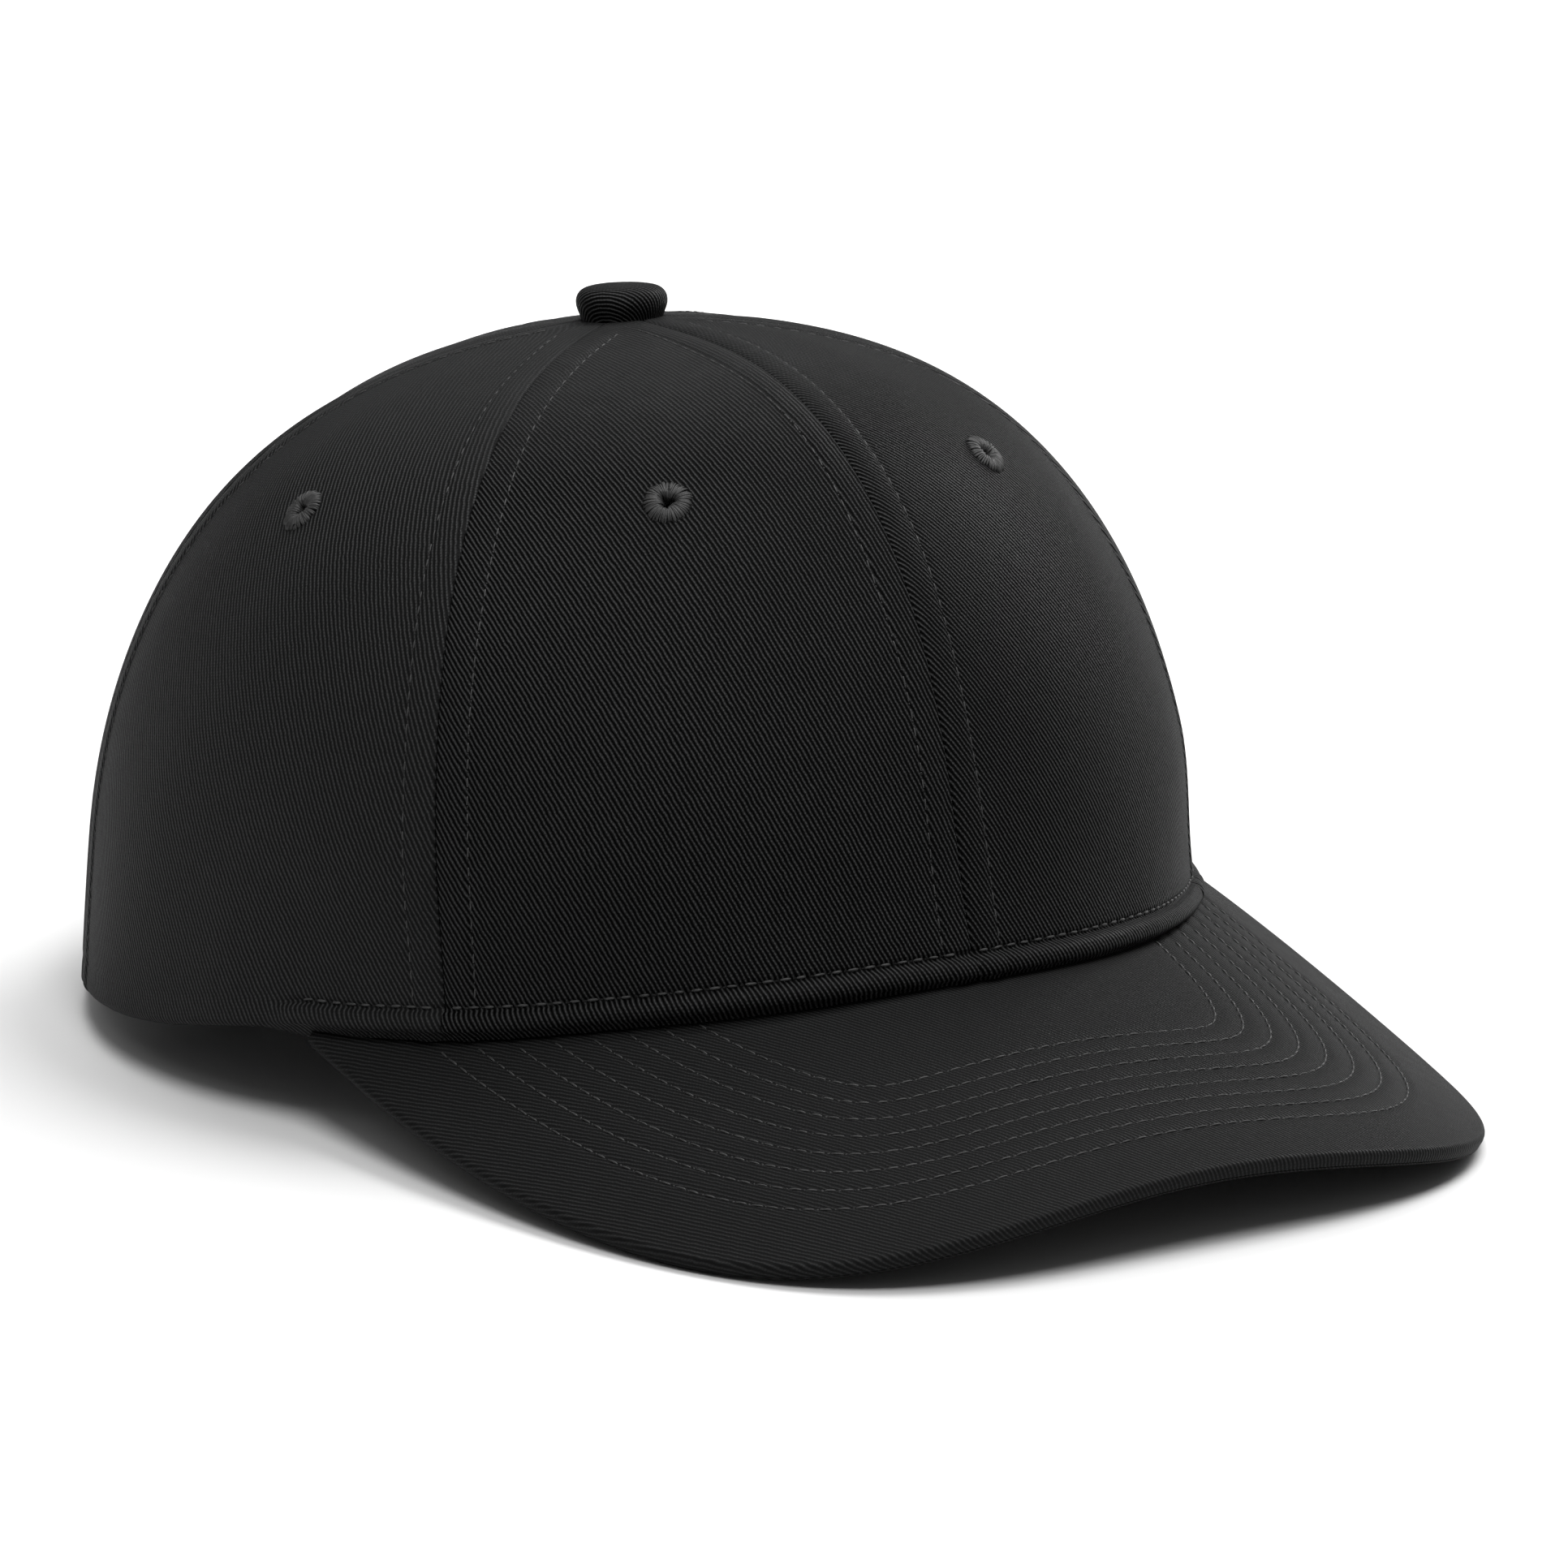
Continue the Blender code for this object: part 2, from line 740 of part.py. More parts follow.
def rod(name, radius, z_low, z_high, sides=24):
    """A rod along the buckle's upright, on the hinge line."""
    bpy.ops.mesh.primitive_cylinder_add(vertices=sides, radius=radius * MM, depth=(z_high - z_low) * MM)
    obj = bpy.context.object
    obj.name = name
    obj.data.transform(Matrix.Translation((0.0, 0.0, 0.5 * (z_low + z_high) * MM)))
    return obj


def build_buckle(brass, steel):
    frame_at = buckle_matrix()
    hinge_at = frame_at @ Matrix.Translation((PIN_ALONG * MM, PIN_OUT * MM, 0.0))
    wide = BUCKLE_HALF_WIDTH
    inner = wide - CHEEK_THICK
    frame = box("buckle_frame", (-BUCKLE_HALF, -BUCKLE_PLATE, -wide), (BUCKLE_HALF, 0.0, wide))
    adopt(frame, PARTS, brass, CAP)
    frame.matrix_local = frame_at
    for side in (-1, 1):
        low = min(side * wide, side * inner)
        high = max(side * wide, side * inner)
        cheek = box("cheek", (PIN_ALONG - 3.6, -0.4, low), (PIN_ALONG + 3.6, PIN_OUT + 2.0, high))
        adopt(cheek, CUTTERS, None, CAP)
        cheek.matrix_local = frame_at
        hide(cheek)
        cut(frame, cheek, "UNION")
    bar_slot = box("bar_slot", (BUCKLE_HALF - 6.6, -2.0, -inner + 1.0), (BUCKLE_HALF - 3.0, 1.0, inner - 1.0))
    window = box("window", (-BUCKLE_HALF + 3.0, -2.0, -inner + 1.0), (PIN_ALONG - 4.0, 1.0, inner - 1.0))
    pin_bore = rod("pin_bore", PIN_RADIUS + GAP, -wide - 2.0, wide + 2.0)
    for cutter, matrix in ((bar_slot, frame_at), (window, frame_at), (pin_bore, hinge_at)):
        adopt(cutter, CUTTERS, None, CAP)
        cutter.matrix_local = matrix
        hide(cutter)
        cut(frame, cutter)
    pin = rod("buckle_pin", PIN_RADIUS, -wide - 0.4, wide + 0.4)
    adopt(pin, PARTS, steel, CAP)
    pin.matrix_local = hinge_at
    reach = inner - 0.4
    lever = rod("buckle_lever", KNUCKLE_RADIUS, -reach, reach)
    adopt(lever, PARTS, brass, CAP)
    lever.matrix_local = hinge_at
    plate_low = GAP * 2 + STRAP_THICK + 0.2 - PIN_OUT
    plate = box(
        "lever_plate",
        (LEVER_TIP - PIN_ALONG, plate_low, -reach),
        (0.0, plate_low + LEVER_THICK, reach),
    )
    adopt(plate, CUTTERS, None, CAP)
    plate.matrix_local = hinge_at
    hide(plate)
    cut(lever, plate, "UNION")
    lever_bore = rod("lever_bore", PIN_RADIUS + GAP, -wide - 2.0, wide + 2.0)
    adopt(lever_bore, CUTTERS, None, CAP)
    lever_bore.matrix_local = hinge_at
    hide(lever_bore)
    cut(lever, lever_bore)


for stale in list(bpy.data.objects):
    bpy.data.objects.remove(stale, do_unlink=True)

PARTS = new_collection("baseball_cap")
CUTTERS = new_collection("cutters")
CAP = bpy.data.objects.new("cap_at_rest", None)
PARTS.objects.link(CAP)
REST_TILT, REST_LIFT = table_plane()
CAP.rotation_euler = (-REST_TILT, 0.0, 0.0)
CAP.location = (0.0, REST_SHIFT_Y * MM, REST_LIFT * MM)

TWILL = make_material("black_twill", (0.020, 0.020, 0.021), 0.85)
THREAD = make_material("black_thread", (0.035, 0.035, 0.036), 0.6)
BUCKRAM = make_material("white_buckram", (0.62, 0.61, 0.57), 0.9)
TAPE = make_material("black_tape", (0.022, 0.022, 0.024), 0.8)
BAND = make_material("black_sweatband", (0.025, 0.025, 0.027), 0.8)
BOARD = make_material("visor_plastic", (0.55, 0.55, 0.52), 0.5)
STEEL = make_material("bright_steel", (0.55, 0.55, 0.56), 0.3, 1.0)
BRASS = make_material("dark_nickel", (0.20, 0.20, 0.21), 0.35, 1.0)

build_crown(TWILL, BUCKRAM, TAPE, THREAD)
build_sweatband(BAND)
build_visor(TWILL, BOARD, TWILL)
build_button(TWILL, STEEL, STEEL)
build_strap(TWILL)
build_tab(TWILL)
build_buckle(BRASS, STEEL)
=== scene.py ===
"""Black structured six-panel cap with a curved visor, on a pale floor."""
import math

import bmesh
import bpy
import numpy as np
from mathutils import Matrix, Vector


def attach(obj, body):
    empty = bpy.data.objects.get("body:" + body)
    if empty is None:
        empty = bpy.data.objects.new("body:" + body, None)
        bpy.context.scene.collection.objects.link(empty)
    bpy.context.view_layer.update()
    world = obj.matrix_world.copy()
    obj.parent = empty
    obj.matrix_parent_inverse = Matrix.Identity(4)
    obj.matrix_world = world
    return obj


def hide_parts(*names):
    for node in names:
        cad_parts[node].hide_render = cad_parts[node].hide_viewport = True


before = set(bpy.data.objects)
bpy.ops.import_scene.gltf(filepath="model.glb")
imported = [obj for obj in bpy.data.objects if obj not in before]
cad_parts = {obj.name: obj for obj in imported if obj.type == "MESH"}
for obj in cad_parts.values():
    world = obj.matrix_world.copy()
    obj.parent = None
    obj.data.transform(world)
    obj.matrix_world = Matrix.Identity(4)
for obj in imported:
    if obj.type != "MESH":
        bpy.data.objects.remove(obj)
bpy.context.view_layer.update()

MM = 0.001
PI = math.pi
RNG = np.random.default_rng(7)

# ---------------------------------------------------------------- the cap's shape, as in part.py (mm)
RIM_HALF_LENGTH = 99.0
RIM_HALF_WIDTH = 94.0
RIM_EGG = 0.011
CROWN_HEIGHT = 108.9
TOP_Y = -4.75
TOP_CONE = 2.7
LOWER_HANDLE = (0.884, 0.798, 0.551)
UPPER_HANDLE = (0.564, 0.502, 0.726)
LEAN = (0.002, -0.0065, -0.02)
HEM_FLARE = 0.014
HEM_FLARE_HEIGHT = 0.12
GORE_FLAT = 0.020
FRONT_SEAM = math.radians(54.9)
REAR_SEAM = math.radians(118.0)
SEAMS = (-PI, -REAR_SEAM, -FRONT_SEAM, 0.0, FRONT_SEAM, REAR_SEAM, PI)
VISOR_END = math.radians(70.4)
VISOR_ROOT_Z = 5.3
VISOR_SLOPE = 0.349
VISOR_BEND = 167.0
VISOR_REACH = 133.4
VISOR_SWELL = 0.065
VISOR_SQUARE_X = 3.31
VISOR_SQUARE_Y = 2.75
HEM_GAP = 0.75
OPENING_HALF = 42.0
OPENING_HEIGHT = 54.0
STRAP_WIDTH = 16.0
STRAP_THICK = 1.4
STRAP_MID_Z = 12.2
STRAP_END = 60.0
STRAP_INSIDE = 36.5
TAB_THICK = 0.7
TAB_WIDTH = 14.0
BUCKLE_AT = 15.0
BUCKLE_HALF = 13.0
BUCKLE_PLATE = 0.8
GAP = 0.3
SEAM_EASE = 0.25
PANEL_THICK = 1.0

REST_TILT = 0.126164
REST_LIFT = 11.0356
REST_SHIFT_Y = 31.66
CAP_MATRIX = Matrix.Translation((0, REST_SHIFT_Y, REST_LIFT)) @ Matrix.Rotation(-REST_TILT, 4, "X")
CAP_ROT = np.array(CAP_MATRIX.to_3x3())
CAP_MOVE = np.array(CAP_MATRIX.translation)


def to_world(points):
    """Cap millimetres to metres in the row frame."""
    return (np.asarray(points) @ CAP_ROT.T + CAP_MOVE) * MM


def smooth(x):
    x = np.clip(x, 0.0, 1.0)
    return x * x * (3.0 - 2.0 * x)


def mix(a, b, k):
    return a + (b - a) * k


def bump(x, width):
    return np.exp(-((x / width) ** 2))


def rim_xy(t):
    return RIM_HALF_WIDTH * np.sin(t) * (1.0 - RIM_EGG * np.cos(t)), -RIM_HALF_LENGTH * np.cos(t)


def visor_z(x, y):
    drop = VISOR_BEND - np.sqrt(VISOR_BEND**2 - np.minimum(x * x, 150.0**2))
    return VISOR_ROOT_Z - VISOR_SLOPE * (-y - RIM_HALF_LENGTH) - drop


def from_front(t):
    """The angle away from the middle of the front, either way."""
    return np.abs((t + PI) % (2 * PI) - PI)


def rim_z(t):
    at = from_front(t)
    past = smooth((at - VISOR_END) / math.radians(35.0))
    return (1.0 - past) * (visor_z(*rim_xy(np.minimum(at, VISOR_END))) + HEM_GAP)


def blend3(t, values):
    front = np.clip(np.cos(t), 0, 1) ** 1.5
    back = np.clip(-np.cos(t), 0, 1) ** 1.5
    return front * values[0] + (1 - front - back) * values[1] + back * values[2]


def crown(t, v, span=None):
    """Outer face of the crown; span is (left, right) of the panel that the points belong to."""
    t, v = np.broadcast_arrays(np.asarray(t, float), np.asarray(v, float))
    rx, ry = rim_xy(t)
    low = rim_z(t)
    front = np.clip(np.cos(t), 0, 1) ** 1.5
    w = 1 - v
    b = (w**3, 3 * w * w * v, 3 * w * v * v, v**3)
    scale = b[0] + b[1] * (1 + blend3(t, LEAN)) + b[2] * blend3(t, UPPER_HANDLE)
    z = b[0] * low + b[1] * mix(low, CROWN_HEIGHT, blend3(t, LOWER_HANDLE))
    z = z + b[2] * (CROWN_HEIGHT - TOP_CONE) + b[3] * CROWN_HEIGHT
    scale = scale + HEM_FLARE * np.clip(1 - v / HEM_FLARE_HEIGHT, 0, 1) ** 2 * (1 - front)
    if span is None:
        tt = (t + PI) % (2 * PI) - PI
        i = np.clip(np.searchsorted(SEAMS, tt, side="right") - 1, 0, 5)
        left, right = np.array(SEAMS)[i], np.array(SEAMS)[i + 1]
    else:
        left, right, tt = span[0], span[1], t
    across = np.clip(2 * (tt - left) / (right - left) - 1, -1, 1)
    belly = np.clip(np.sin(PI * v), 0, 1) ** 0.7
    scale = scale * (1 - GORE_FLAT * (1 - across * across) * smooth((v - 0.08) / 0.25) * belly)
    return np.stack([rx * scale, TOP_Y + (ry - TOP_Y) * scale, z], -1)


def crown_normal(t, v, span=None):
    dt, dv = 6e-4, 4e-3
    t, v = np.broadcast_arrays(np.asarray(t, float), np.asarray(v, float))
    lo, hi = (t - dt, t + dt) if span is None else (np.maximum(t - dt, span[0]), np.minimum(t + dt, span[1]))
    along = crown(hi, v, span) - crown(lo, v, span)
    up = crown(t, np.minimum(v + dv, 0.995), span) - crown(t, np.maximum(v - dv, 0.0), span)
    return unit(np.cross(along, up))


def body_shift(t, h):
    """How far the cloth stands off the drawn surface near the hem: in at the temples, out at the front."""
    at = from_front(t)
    temple = smooth((at - 0.45) / 0.4) * (1 - smooth((at - 1.2) / 0.25))
    tuck = -1.9 * temple * (1 - smooth((h - 6.0) / 26.0)) * mix(0.65, 1.0, smooth(h / 6.0))
    flare = 2.4 * np.clip(1 - h / 20.0, 0, 1) ** 2 * (1 - smooth((at - 0.25) / 0.45))
    return tuck + flare


def skin(t, v, depth, span=None):
    base = crown(t, v, span)
    off = body_shift(np.asarray(t, float), base[..., 2] - rim_z(np.asarray(t, float))) - depth
    return base + crown_normal(t, v, span) * np.asarray(off)[..., None]


def solve_v(t, test):
    """The v at which test(point) first turns true, going up each meridian."""
    low, high = np.zeros_like(t), np.ones_like(t)
    for _ in range(34):
        middle = 0.5 * (low + high)
        under = test(crown(t, middle))
        low, high = np.where(under, middle, low), np.where(under, high, middle)
    return 0.5 * (low + high)


def v_at_height(t, z):
    t, z = np.broadcast_arrays(np.asarray(t, float), np.asarray(z, float))
    return solve_v(t, lambda p: p[..., 2] < z)


def v_at_radius(t, radius):
    t = np.asarray(t, float)
    return solve_v(t, lambda p: np.hypot(p[..., 0], p[..., 1] - TOP_Y) > radius)


def back_angle(s):
    s = np.asarray(s, float)
    angle = np.zeros_like(s)
    for _ in range(60):
        speed = np.hypot(RIM_HALF_WIDTH * (1 + RIM_EGG) * np.cos(angle), RIM_HALF_LENGTH * np.sin(angle))
        angle = angle + s / 60.0 / speed
    return PI - angle


def back_skin(s, z, out):
    t = back_angle(s)
    v = v_at_height(t, np.maximum(z, 0.0))
    return skin(t, v, -np.asarray(out))


# ---------------------------------------------------------------- mesh helpers
def unit(vectors):
    return vectors / np.maximum(np.linalg.norm(vectors, axis=-1, keepdims=True), 1e-9)


def distance_along(path):
    """The length of a path up to each of its points."""
    return np.concatenate([[0], np.cumsum(np.linalg.norm(np.diff(path, axis=0), axis=1))])


def sample(path, run, at):
    """A path's values at distances along it."""
    return np.stack([np.interp(at, run, path[:, k]) for k in range(path.shape[1])], -1)


def mesh_object(name, verts, faces, uvs=None):
    """verts in cap millimetres; uvs per vertex, in millimetres of cloth."""
    mesh = bpy.data.meshes.new(name)
    mesh.from_pydata([tuple(p) for p in to_world(verts)], [], [tuple(f) for f in faces])
    if uvs is not None:
        layer = mesh.uv_layers.new(name="cloth")
        loops = np.zeros(len(mesh.loops), dtype=np.int64)
        mesh.loops.foreach_get("vertex_index", loops)
        layer.data.foreach_set("uv", (np.asarray(uvs)[loops] * 0.01).ravel().astype(np.float32))
    mesh.update()
    mesh.shade_smooth()
    obj = bpy.data.objects.new(name, mesh)
    bpy.context.scene.collection.objects.link(obj)
    return obj


def grid_faces(rows, cols, flip=False, keep=None):
    i, j = np.meshgrid(np.arange(rows - 1), np.arange(cols - 1), indexing="ij")
    a = i * cols + j
    f = np.stack([a, a + cols, a + cols + 1, a + 1], -1)
    if keep is not None:
        f = f[keep]
    f = f.reshape(-1, 4)
    return f[:, ::-1] if flip else f


def thicken(obj, thickness):
    """Gives a one-layer mesh its thickness, inward, in millimetres."""
    mod = obj.modifiers.new("thickness", "SOLIDIFY")
    mod.thickness = thickness * MM
    mod.offset = -1.0
    graph = bpy.context.evaluated_depsgraph_get()
    mesh = bpy.data.meshes.new_from_object(obj.evaluated_get(graph))
    obj.modifiers.clear()
    obj.data = mesh


def flat_cut(obj):
    """Width, length and area, in metres, of the flat cloth that a one-layer mesh is laid out as."""
    mesh = obj.data
    uv = np.zeros(len(mesh.loops) * 2, np.float32)
    mesh.uv_layers["cloth"].data.foreach_get("uv", uv)
    uv = uv.reshape(-1, 2) * 0.1
    area = 0.0
    for face in mesh.polygons:
        a, b = uv[face.loop_start:face.loop_start + face.loop_total].T
        area += abs(float(a @ np.roll(b, -1) - b @ np.roll(a, -1))) / 2
    width, length = (float(x) for x in np.ptp(uv, axis=0))
    return (width, length), min(area, width * length)


def finish_piece(obj, material, node=None):
    obj.data.materials.clear()
    obj.data.materials.append(material)
    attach(obj, "cap")
    if node:
        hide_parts(node)


def sew(obj, thickness, material, node):
    flat, area = flat_cut(obj)
    thicken(obj, thickness)
    finish_piece(obj, material, node)


def resample(path, step):
    """Points at even steps along a path."""
    run = distance_along(path)
    return sample(path, run, np.arange(0.0, run[-1], step))


def stitch_mesh(paths, length=2.3, pitch=3.0, radius=0.2, lift=0.08, sides=6):
    """Thread stitches along paths. Each path is (points, normals) in cap millimetres."""
    verts, faces = [], []
    ring = np.linspace(0, 2 * PI, sides, endpoint=False)
    prof = np.array([0.0, 0.12, 0.3, 0.5, 0.7, 0.88, 1.0])
    thick = np.array([0.35, 0.8, 1.0, 1.0, 1.0, 0.8, 0.35])
    rise = np.array([-0.9, -0.15, 0.1, 0.18, 0.1, -0.15, -0.9])
    for points, normals in paths:
        both = np.concatenate([points, normals], axis=1)
        run = distance_along(points)
        count = int(run[-1] // pitch)
        for k in range(count):
            begin = k * pitch + RNG.uniform(-0.12, 0.12) + 0.3
            size = length * RNG.uniform(0.9, 1.08)
            at = begin + prof * size
            row = sample(both, run, at)
            centre, normal = row[:, :3], unit(row[:, 3:])
            side = np.cross(unit(np.gradient(centre, axis=0)), normal)
            twist = RNG.uniform(-0.1, 0.1)
            r = radius * RNG.uniform(0.9, 1.12)
            mid = centre + normal * (lift + r * rise)[:, None] + side * (twist * (prof - 0.5))[:, None]
            base = len(verts)
            for m, th, nn, ss in zip(mid, thick, normal, side):
                for a in ring:
                    verts.append(m + (nn * math.sin(a) * 0.8 + ss * math.cos(a)) * r * th)
            n = len(prof)
            for i in range(n - 1):
                for j in range(sides):
                    a = base + i * sides + j
                    b = base + i * sides + (j + 1) % sides
                    faces.append((a, b, b + sides, a + sides))
            faces.append(tuple(base + j for j in range(sides))[::-1])
            faces.append(tuple(base + (n - 1) * sides + j for j in range(sides)))
    return np.array(verts), faces


def stitches(name, paths, material, **kw):
    finish_piece(mesh_object(name, *stitch_mesh(paths, **kw)), material)


def needle_holes(name, paths, pitch, across):
    """Near-black discs between stitches: painted shade standing in for the holes that the needle leaves."""
    verts, faces = [], []
    ring = np.linspace(0, 2 * PI, 8, endpoint=False)
    for points, normals in paths:
        run = distance_along(points)
        for k in range(1, int(run[-1] // pitch)):
            at = k * pitch + 0.02
            centre = sample(points, run, at)
            ahead = sample(points, run, at + 0.4) - centre
            normal = unit(sample(normals, run, at))
            ahead = unit(ahead - normal * ahead.dot(normal))
            side = np.cross(normal, ahead)
            base = len(verts)
            size = across * RNG.uniform(0.7, 1.15)
            for scale, lift in ((1.0, 0.0), (0.7, 0.07)):
                for a in ring:
                    round_it = ahead * math.cos(a) * 1.25 + side * math.sin(a)
                    verts.append(centre + normal * lift + round_it * size * scale)
            for j in range(8):
                faces.append((base + j, base + (j + 1) % 8, base + 8 + (j + 1) % 8, base + 8 + j))
            faces.append(tuple(base + 8 + j for j in range(8)))
    finish_piece(mesh_object(name, np.array(verts), faces), NEEDLE_HOLE_SHADE)


# ---------------------------------------------------------------- materials
UV_SCALE = 100.0


class Nodes:
    def __init__(self, name):
        self.material = bpy.data.materials.new(name)
        self.material.use_nodes = True
        self.tree = self.material.node_tree
        self.shader = self.tree.nodes["Principled BSDF"]

    def add(self, kind, **values):
        node = self.tree.nodes.new(kind)
        for key, value in values.items():
            setattr(node, key, value)
        return node

    def link(self, a, b):
        self.tree.links.new(a, b)

    def math(self, op, a, b=None, c=None, clamp=False):
        node = self.add("ShaderNodeMath", operation=op, use_clamp=clamp)
        for i, value in enumerate((a, b, c)):
            if value is None:
                continue
            if hasattr(value, "is_linked"):
                self.link(value, node.inputs[i])
            else:
                node.inputs[i].default_value = value
        return node.outputs[0]

    def noise(self, vector, scale, detail=2.0, rough=0.5):
        node = self.add("ShaderNodeTexNoise")
        self.link(vector, node.inputs["Vector"])
        node.inputs["Scale"].default_value = scale
        node.inputs["Detail"].default_value = detail
        node.inputs["Roughness"].default_value = rough
        return node.outputs["Fac"]

    def ramp(self, value, stops):
        node = self.add("ShaderNodeValToRGB")
        elements = node.color_ramp.elements
        while len(elements) < len(stops):
            elements.new(0.5)
        for element, (pos, colour) in zip(elements, stops):
            element.position = pos
            element.color = (*colour, 1.0)
        self.link(value, node.inputs["Fac"])
        return node.outputs["Color"]

    def cloth_mm(self):
        """The cloth's own layout in millimetres, as a vector and as X and Y."""
        uv = self.add("ShaderNodeUVMap", uv_map="cloth").outputs["UV"]
        mm = self.add("ShaderNodeVectorMath", operation="SCALE")
        self.link(uv, mm.inputs[0])
        mm.inputs["Scale"].default_value = UV_SCALE
        split = self.add("ShaderNodeSeparateXYZ")
        self.link(mm.outputs["Vector"], split.inputs[0])
        return mm.outputs["Vector"], split.outputs["X"], split.outputs["Y"]

    def raise_by(self, height, strength, distance):
        """Bump from a height, its distance in millimetres."""
        lump = self.add("ShaderNodeBump")
        lump.inputs["Strength"].default_value = strength
        lump.inputs["Distance"].default_value = distance * MM
        self.link(height, lump.inputs["Height"])
        self.link(lump.outputs["Normal"], self.shader.inputs["Normal"])

    def set(self, **values):
        """Values or node outputs for the shader's inputs."""
        for key, value in values.items():
            socket = self.shader.inputs[key.replace("_", " ")]
            if hasattr(value, "is_linked"):
                self.link(value, socket)
            else:
                socket.default_value = value


def grey(v, tint=0.0):
    return (v * (1 - tint), v, v * (1 + tint))


def twill(name, dark=0.0, light=0.052, angle=-63.0, pitch=0.78, bump_size=0.48, fuzz=0.35):
    """Cotton twill: raised diagonal ribs of short yarn floats, in the cloth's own millimetres."""
    n = Nodes(name)
    mm, x, y = n.cloth_mm()
    a = math.radians(angle)
    across = n.math("ADD", n.math("MULTIPLY", x, -math.sin(a) / pitch), n.math("MULTIPLY", y, math.cos(a) / pitch))
    along = n.math("ADD", n.math("MULTIPLY", x, math.cos(a)), n.math("MULTIPLY", y, math.sin(a)))
    wobble = n.noise(mm, 0.55, 3.0)
    across = n.math("ADD", across, n.math("MULTIPLY", wobble, 0.55))
    rib = n.math("COSINE", n.math("MULTIPLY", across, 2 * PI))
    rib = n.math("MULTIPLY_ADD", rib, 0.5, 0.5)
    rib = n.math("POWER", rib, 1.9)
    # painted sheen: past 94 mm up the cloth (the top of the crown panels, the front of the visor) the ribs fade and the
    # cloth turns lighter, standing in for a glossy haze of light
    painted_top_sheen = n.math("MULTIPLY_ADD", y, 1 / 26.0, -3.6, clamp=True)
    painted_top_sheen = n.math("MULTIPLY", painted_top_sheen, 0.7)
    rib = n.math("MULTIPLY", rib, n.math("SUBTRACT", 1.0, painted_top_sheen))
    rib = n.math("ADD", rib, n.math("MULTIPLY", painted_top_sheen, 0.45))
    count = n.math("FLOOR", n.math("ADD", across, 0.5))
    float_at = n.math("ADD", n.math("MULTIPLY", along, 1.0 / 0.62), n.math("MULTIPLY", count, 0.37))
    yarn = n.math("COSINE", n.math("MULTIPLY", float_at, 2 * PI))
    yarn = n.math("MULTIPLY_ADD", yarn, 0.16, 0.84)
    fine = n.noise(mm, 3.2, 2.0, 0.7)
    height = n.math("MULTIPLY", rib, yarn)
    height = n.math("MULTIPLY_ADD", fine, 0.45, height)
    broad = n.noise(mm, 0.035, 2.0)
    patch = n.noise(mm, 0.22, 4.0, 0.65)
    tone = n.math("MULTIPLY", n.math("MULTIPLY", rib, yarn), n.math("MULTIPLY_ADD", fine, 1.1, 0.45))
    tone = n.math("MULTIPLY", tone, n.math("MULTIPLY_ADD", patch, 0.5, 0.75))
    tone = n.math("MULTIPLY", tone, n.math("MULTIPLY_ADD", broad, 0.3, 0.85), clamp=True)
    colour = n.ramp(tone, [(0.0, grey(dark, 0.01)), (1.0, grey(light, 0.01))])
    n.set(Base_Color=colour)
    n.raise_by(height, 0.9, bump_size)
    n.set(Roughness=n.math("MULTIPLY_ADD", patch, 0.12, 0.42), Specular_IOR_Level=0.026)
    n.set(Sheen_Weight=fuzz * 0.005, Sheen_Roughness=0.45, Sheen_Tint=(0.8, 0.8, 0.82, 1.0))
    return n.material


def thread_material(name, value=0.05):
    n = Nodes(name)
    at = n.add("ShaderNodeTexCoord").outputs["Object"]
    wave = n.noise(at, 900.0, 2.0, 0.6)
    colour = n.ramp(wave, [(0.25, grey(value * 0.55)), (0.75, grey(value * 1.35))])
    n.set(Base_Color=colour)
    n.raise_by(wave, 0.5, 0.06)
    n.set(Roughness=0.5, Specular_IOR_Level=0.25)
    return n.material


def tape_material(name, value=0.02, cell=0.5, spread=0.5):
    """Plain woven tape or lining: a fine over-and-under grid."""
    n = Nodes(name)
    mm, x, y = n.cloth_mm()
    x, y = (n.math("SINE", n.math("MULTIPLY", value, PI / cell)) for value in (x, y))
    weave = n.math("MULTIPLY_ADD", n.math("MULTIPLY", x, y), 0.5, 0.5)
    fine = n.noise(mm, 2.4, 3.0, 0.65)
    weave = n.math("MULTIPLY_ADD", weave, spread, 1 - spread * 0.5)
    tone = n.math("MULTIPLY", weave, n.math("MULTIPLY_ADD", fine, 0.8, 0.5), clamp=True)
    colour = n.ramp(tone, [(0.0, grey(value * 0.4)), (1.0, grey(value * 1.5))])
    n.set(Base_Color=colour)
    n.raise_by(tone, 0.7, 0.15)
    n.set(Roughness=0.75, Specular_IOR_Level=0.25)
    return n.material


def plastic_material(name, value):
    """Moulded sheet with a faint grain."""
    n = Nodes(name)
    at = n.add("ShaderNodeTexCoord").outputs["Object"]
    grain = n.noise(at, 1500.0, 3.0, 0.6)
    patch = n.noise(at, 90.0, 2.0)
    colour = n.ramp(patch, [(0.3, grey(value * 0.92)), (0.7, grey(value * 1.05))])
    n.set(Base_Color=colour)
    n.raise_by(grain, 0.3, 0.05)
    n.set(Roughness=n.math("MULTIPLY_ADD", grain, 0.2, 0.45))
    return n.material


def metal_material(name, value, rough):
    """Plated metal with fine brushing and a little wear in broad patches."""
    n = Nodes(name)
    at = n.add("ShaderNodeTexCoord").outputs["Object"]
    stretch = n.add("ShaderNodeMapping")
    stretch.inputs["Scale"].default_value = (300.0, 300.0, 4000.0)
    n.link(at, stretch.inputs["Vector"])
    brush = n.noise(stretch.outputs["Vector"], 1.0, 3.0, 0.6)
    patch = n.noise(at, 220.0, 3.0)
    colour = n.ramp(patch, [(0.3, grey(value * 0.8, 0.01)), (0.7, grey(value * 1.15, 0.01))])
    n.set(Base_Color=colour)
    n.set(Roughness=n.math("MULTIPLY_ADD", brush, 0.18, rough - 0.09), Metallic=1.0)
    n.raise_by(brush, 0.12, 0.03)
    return n.material


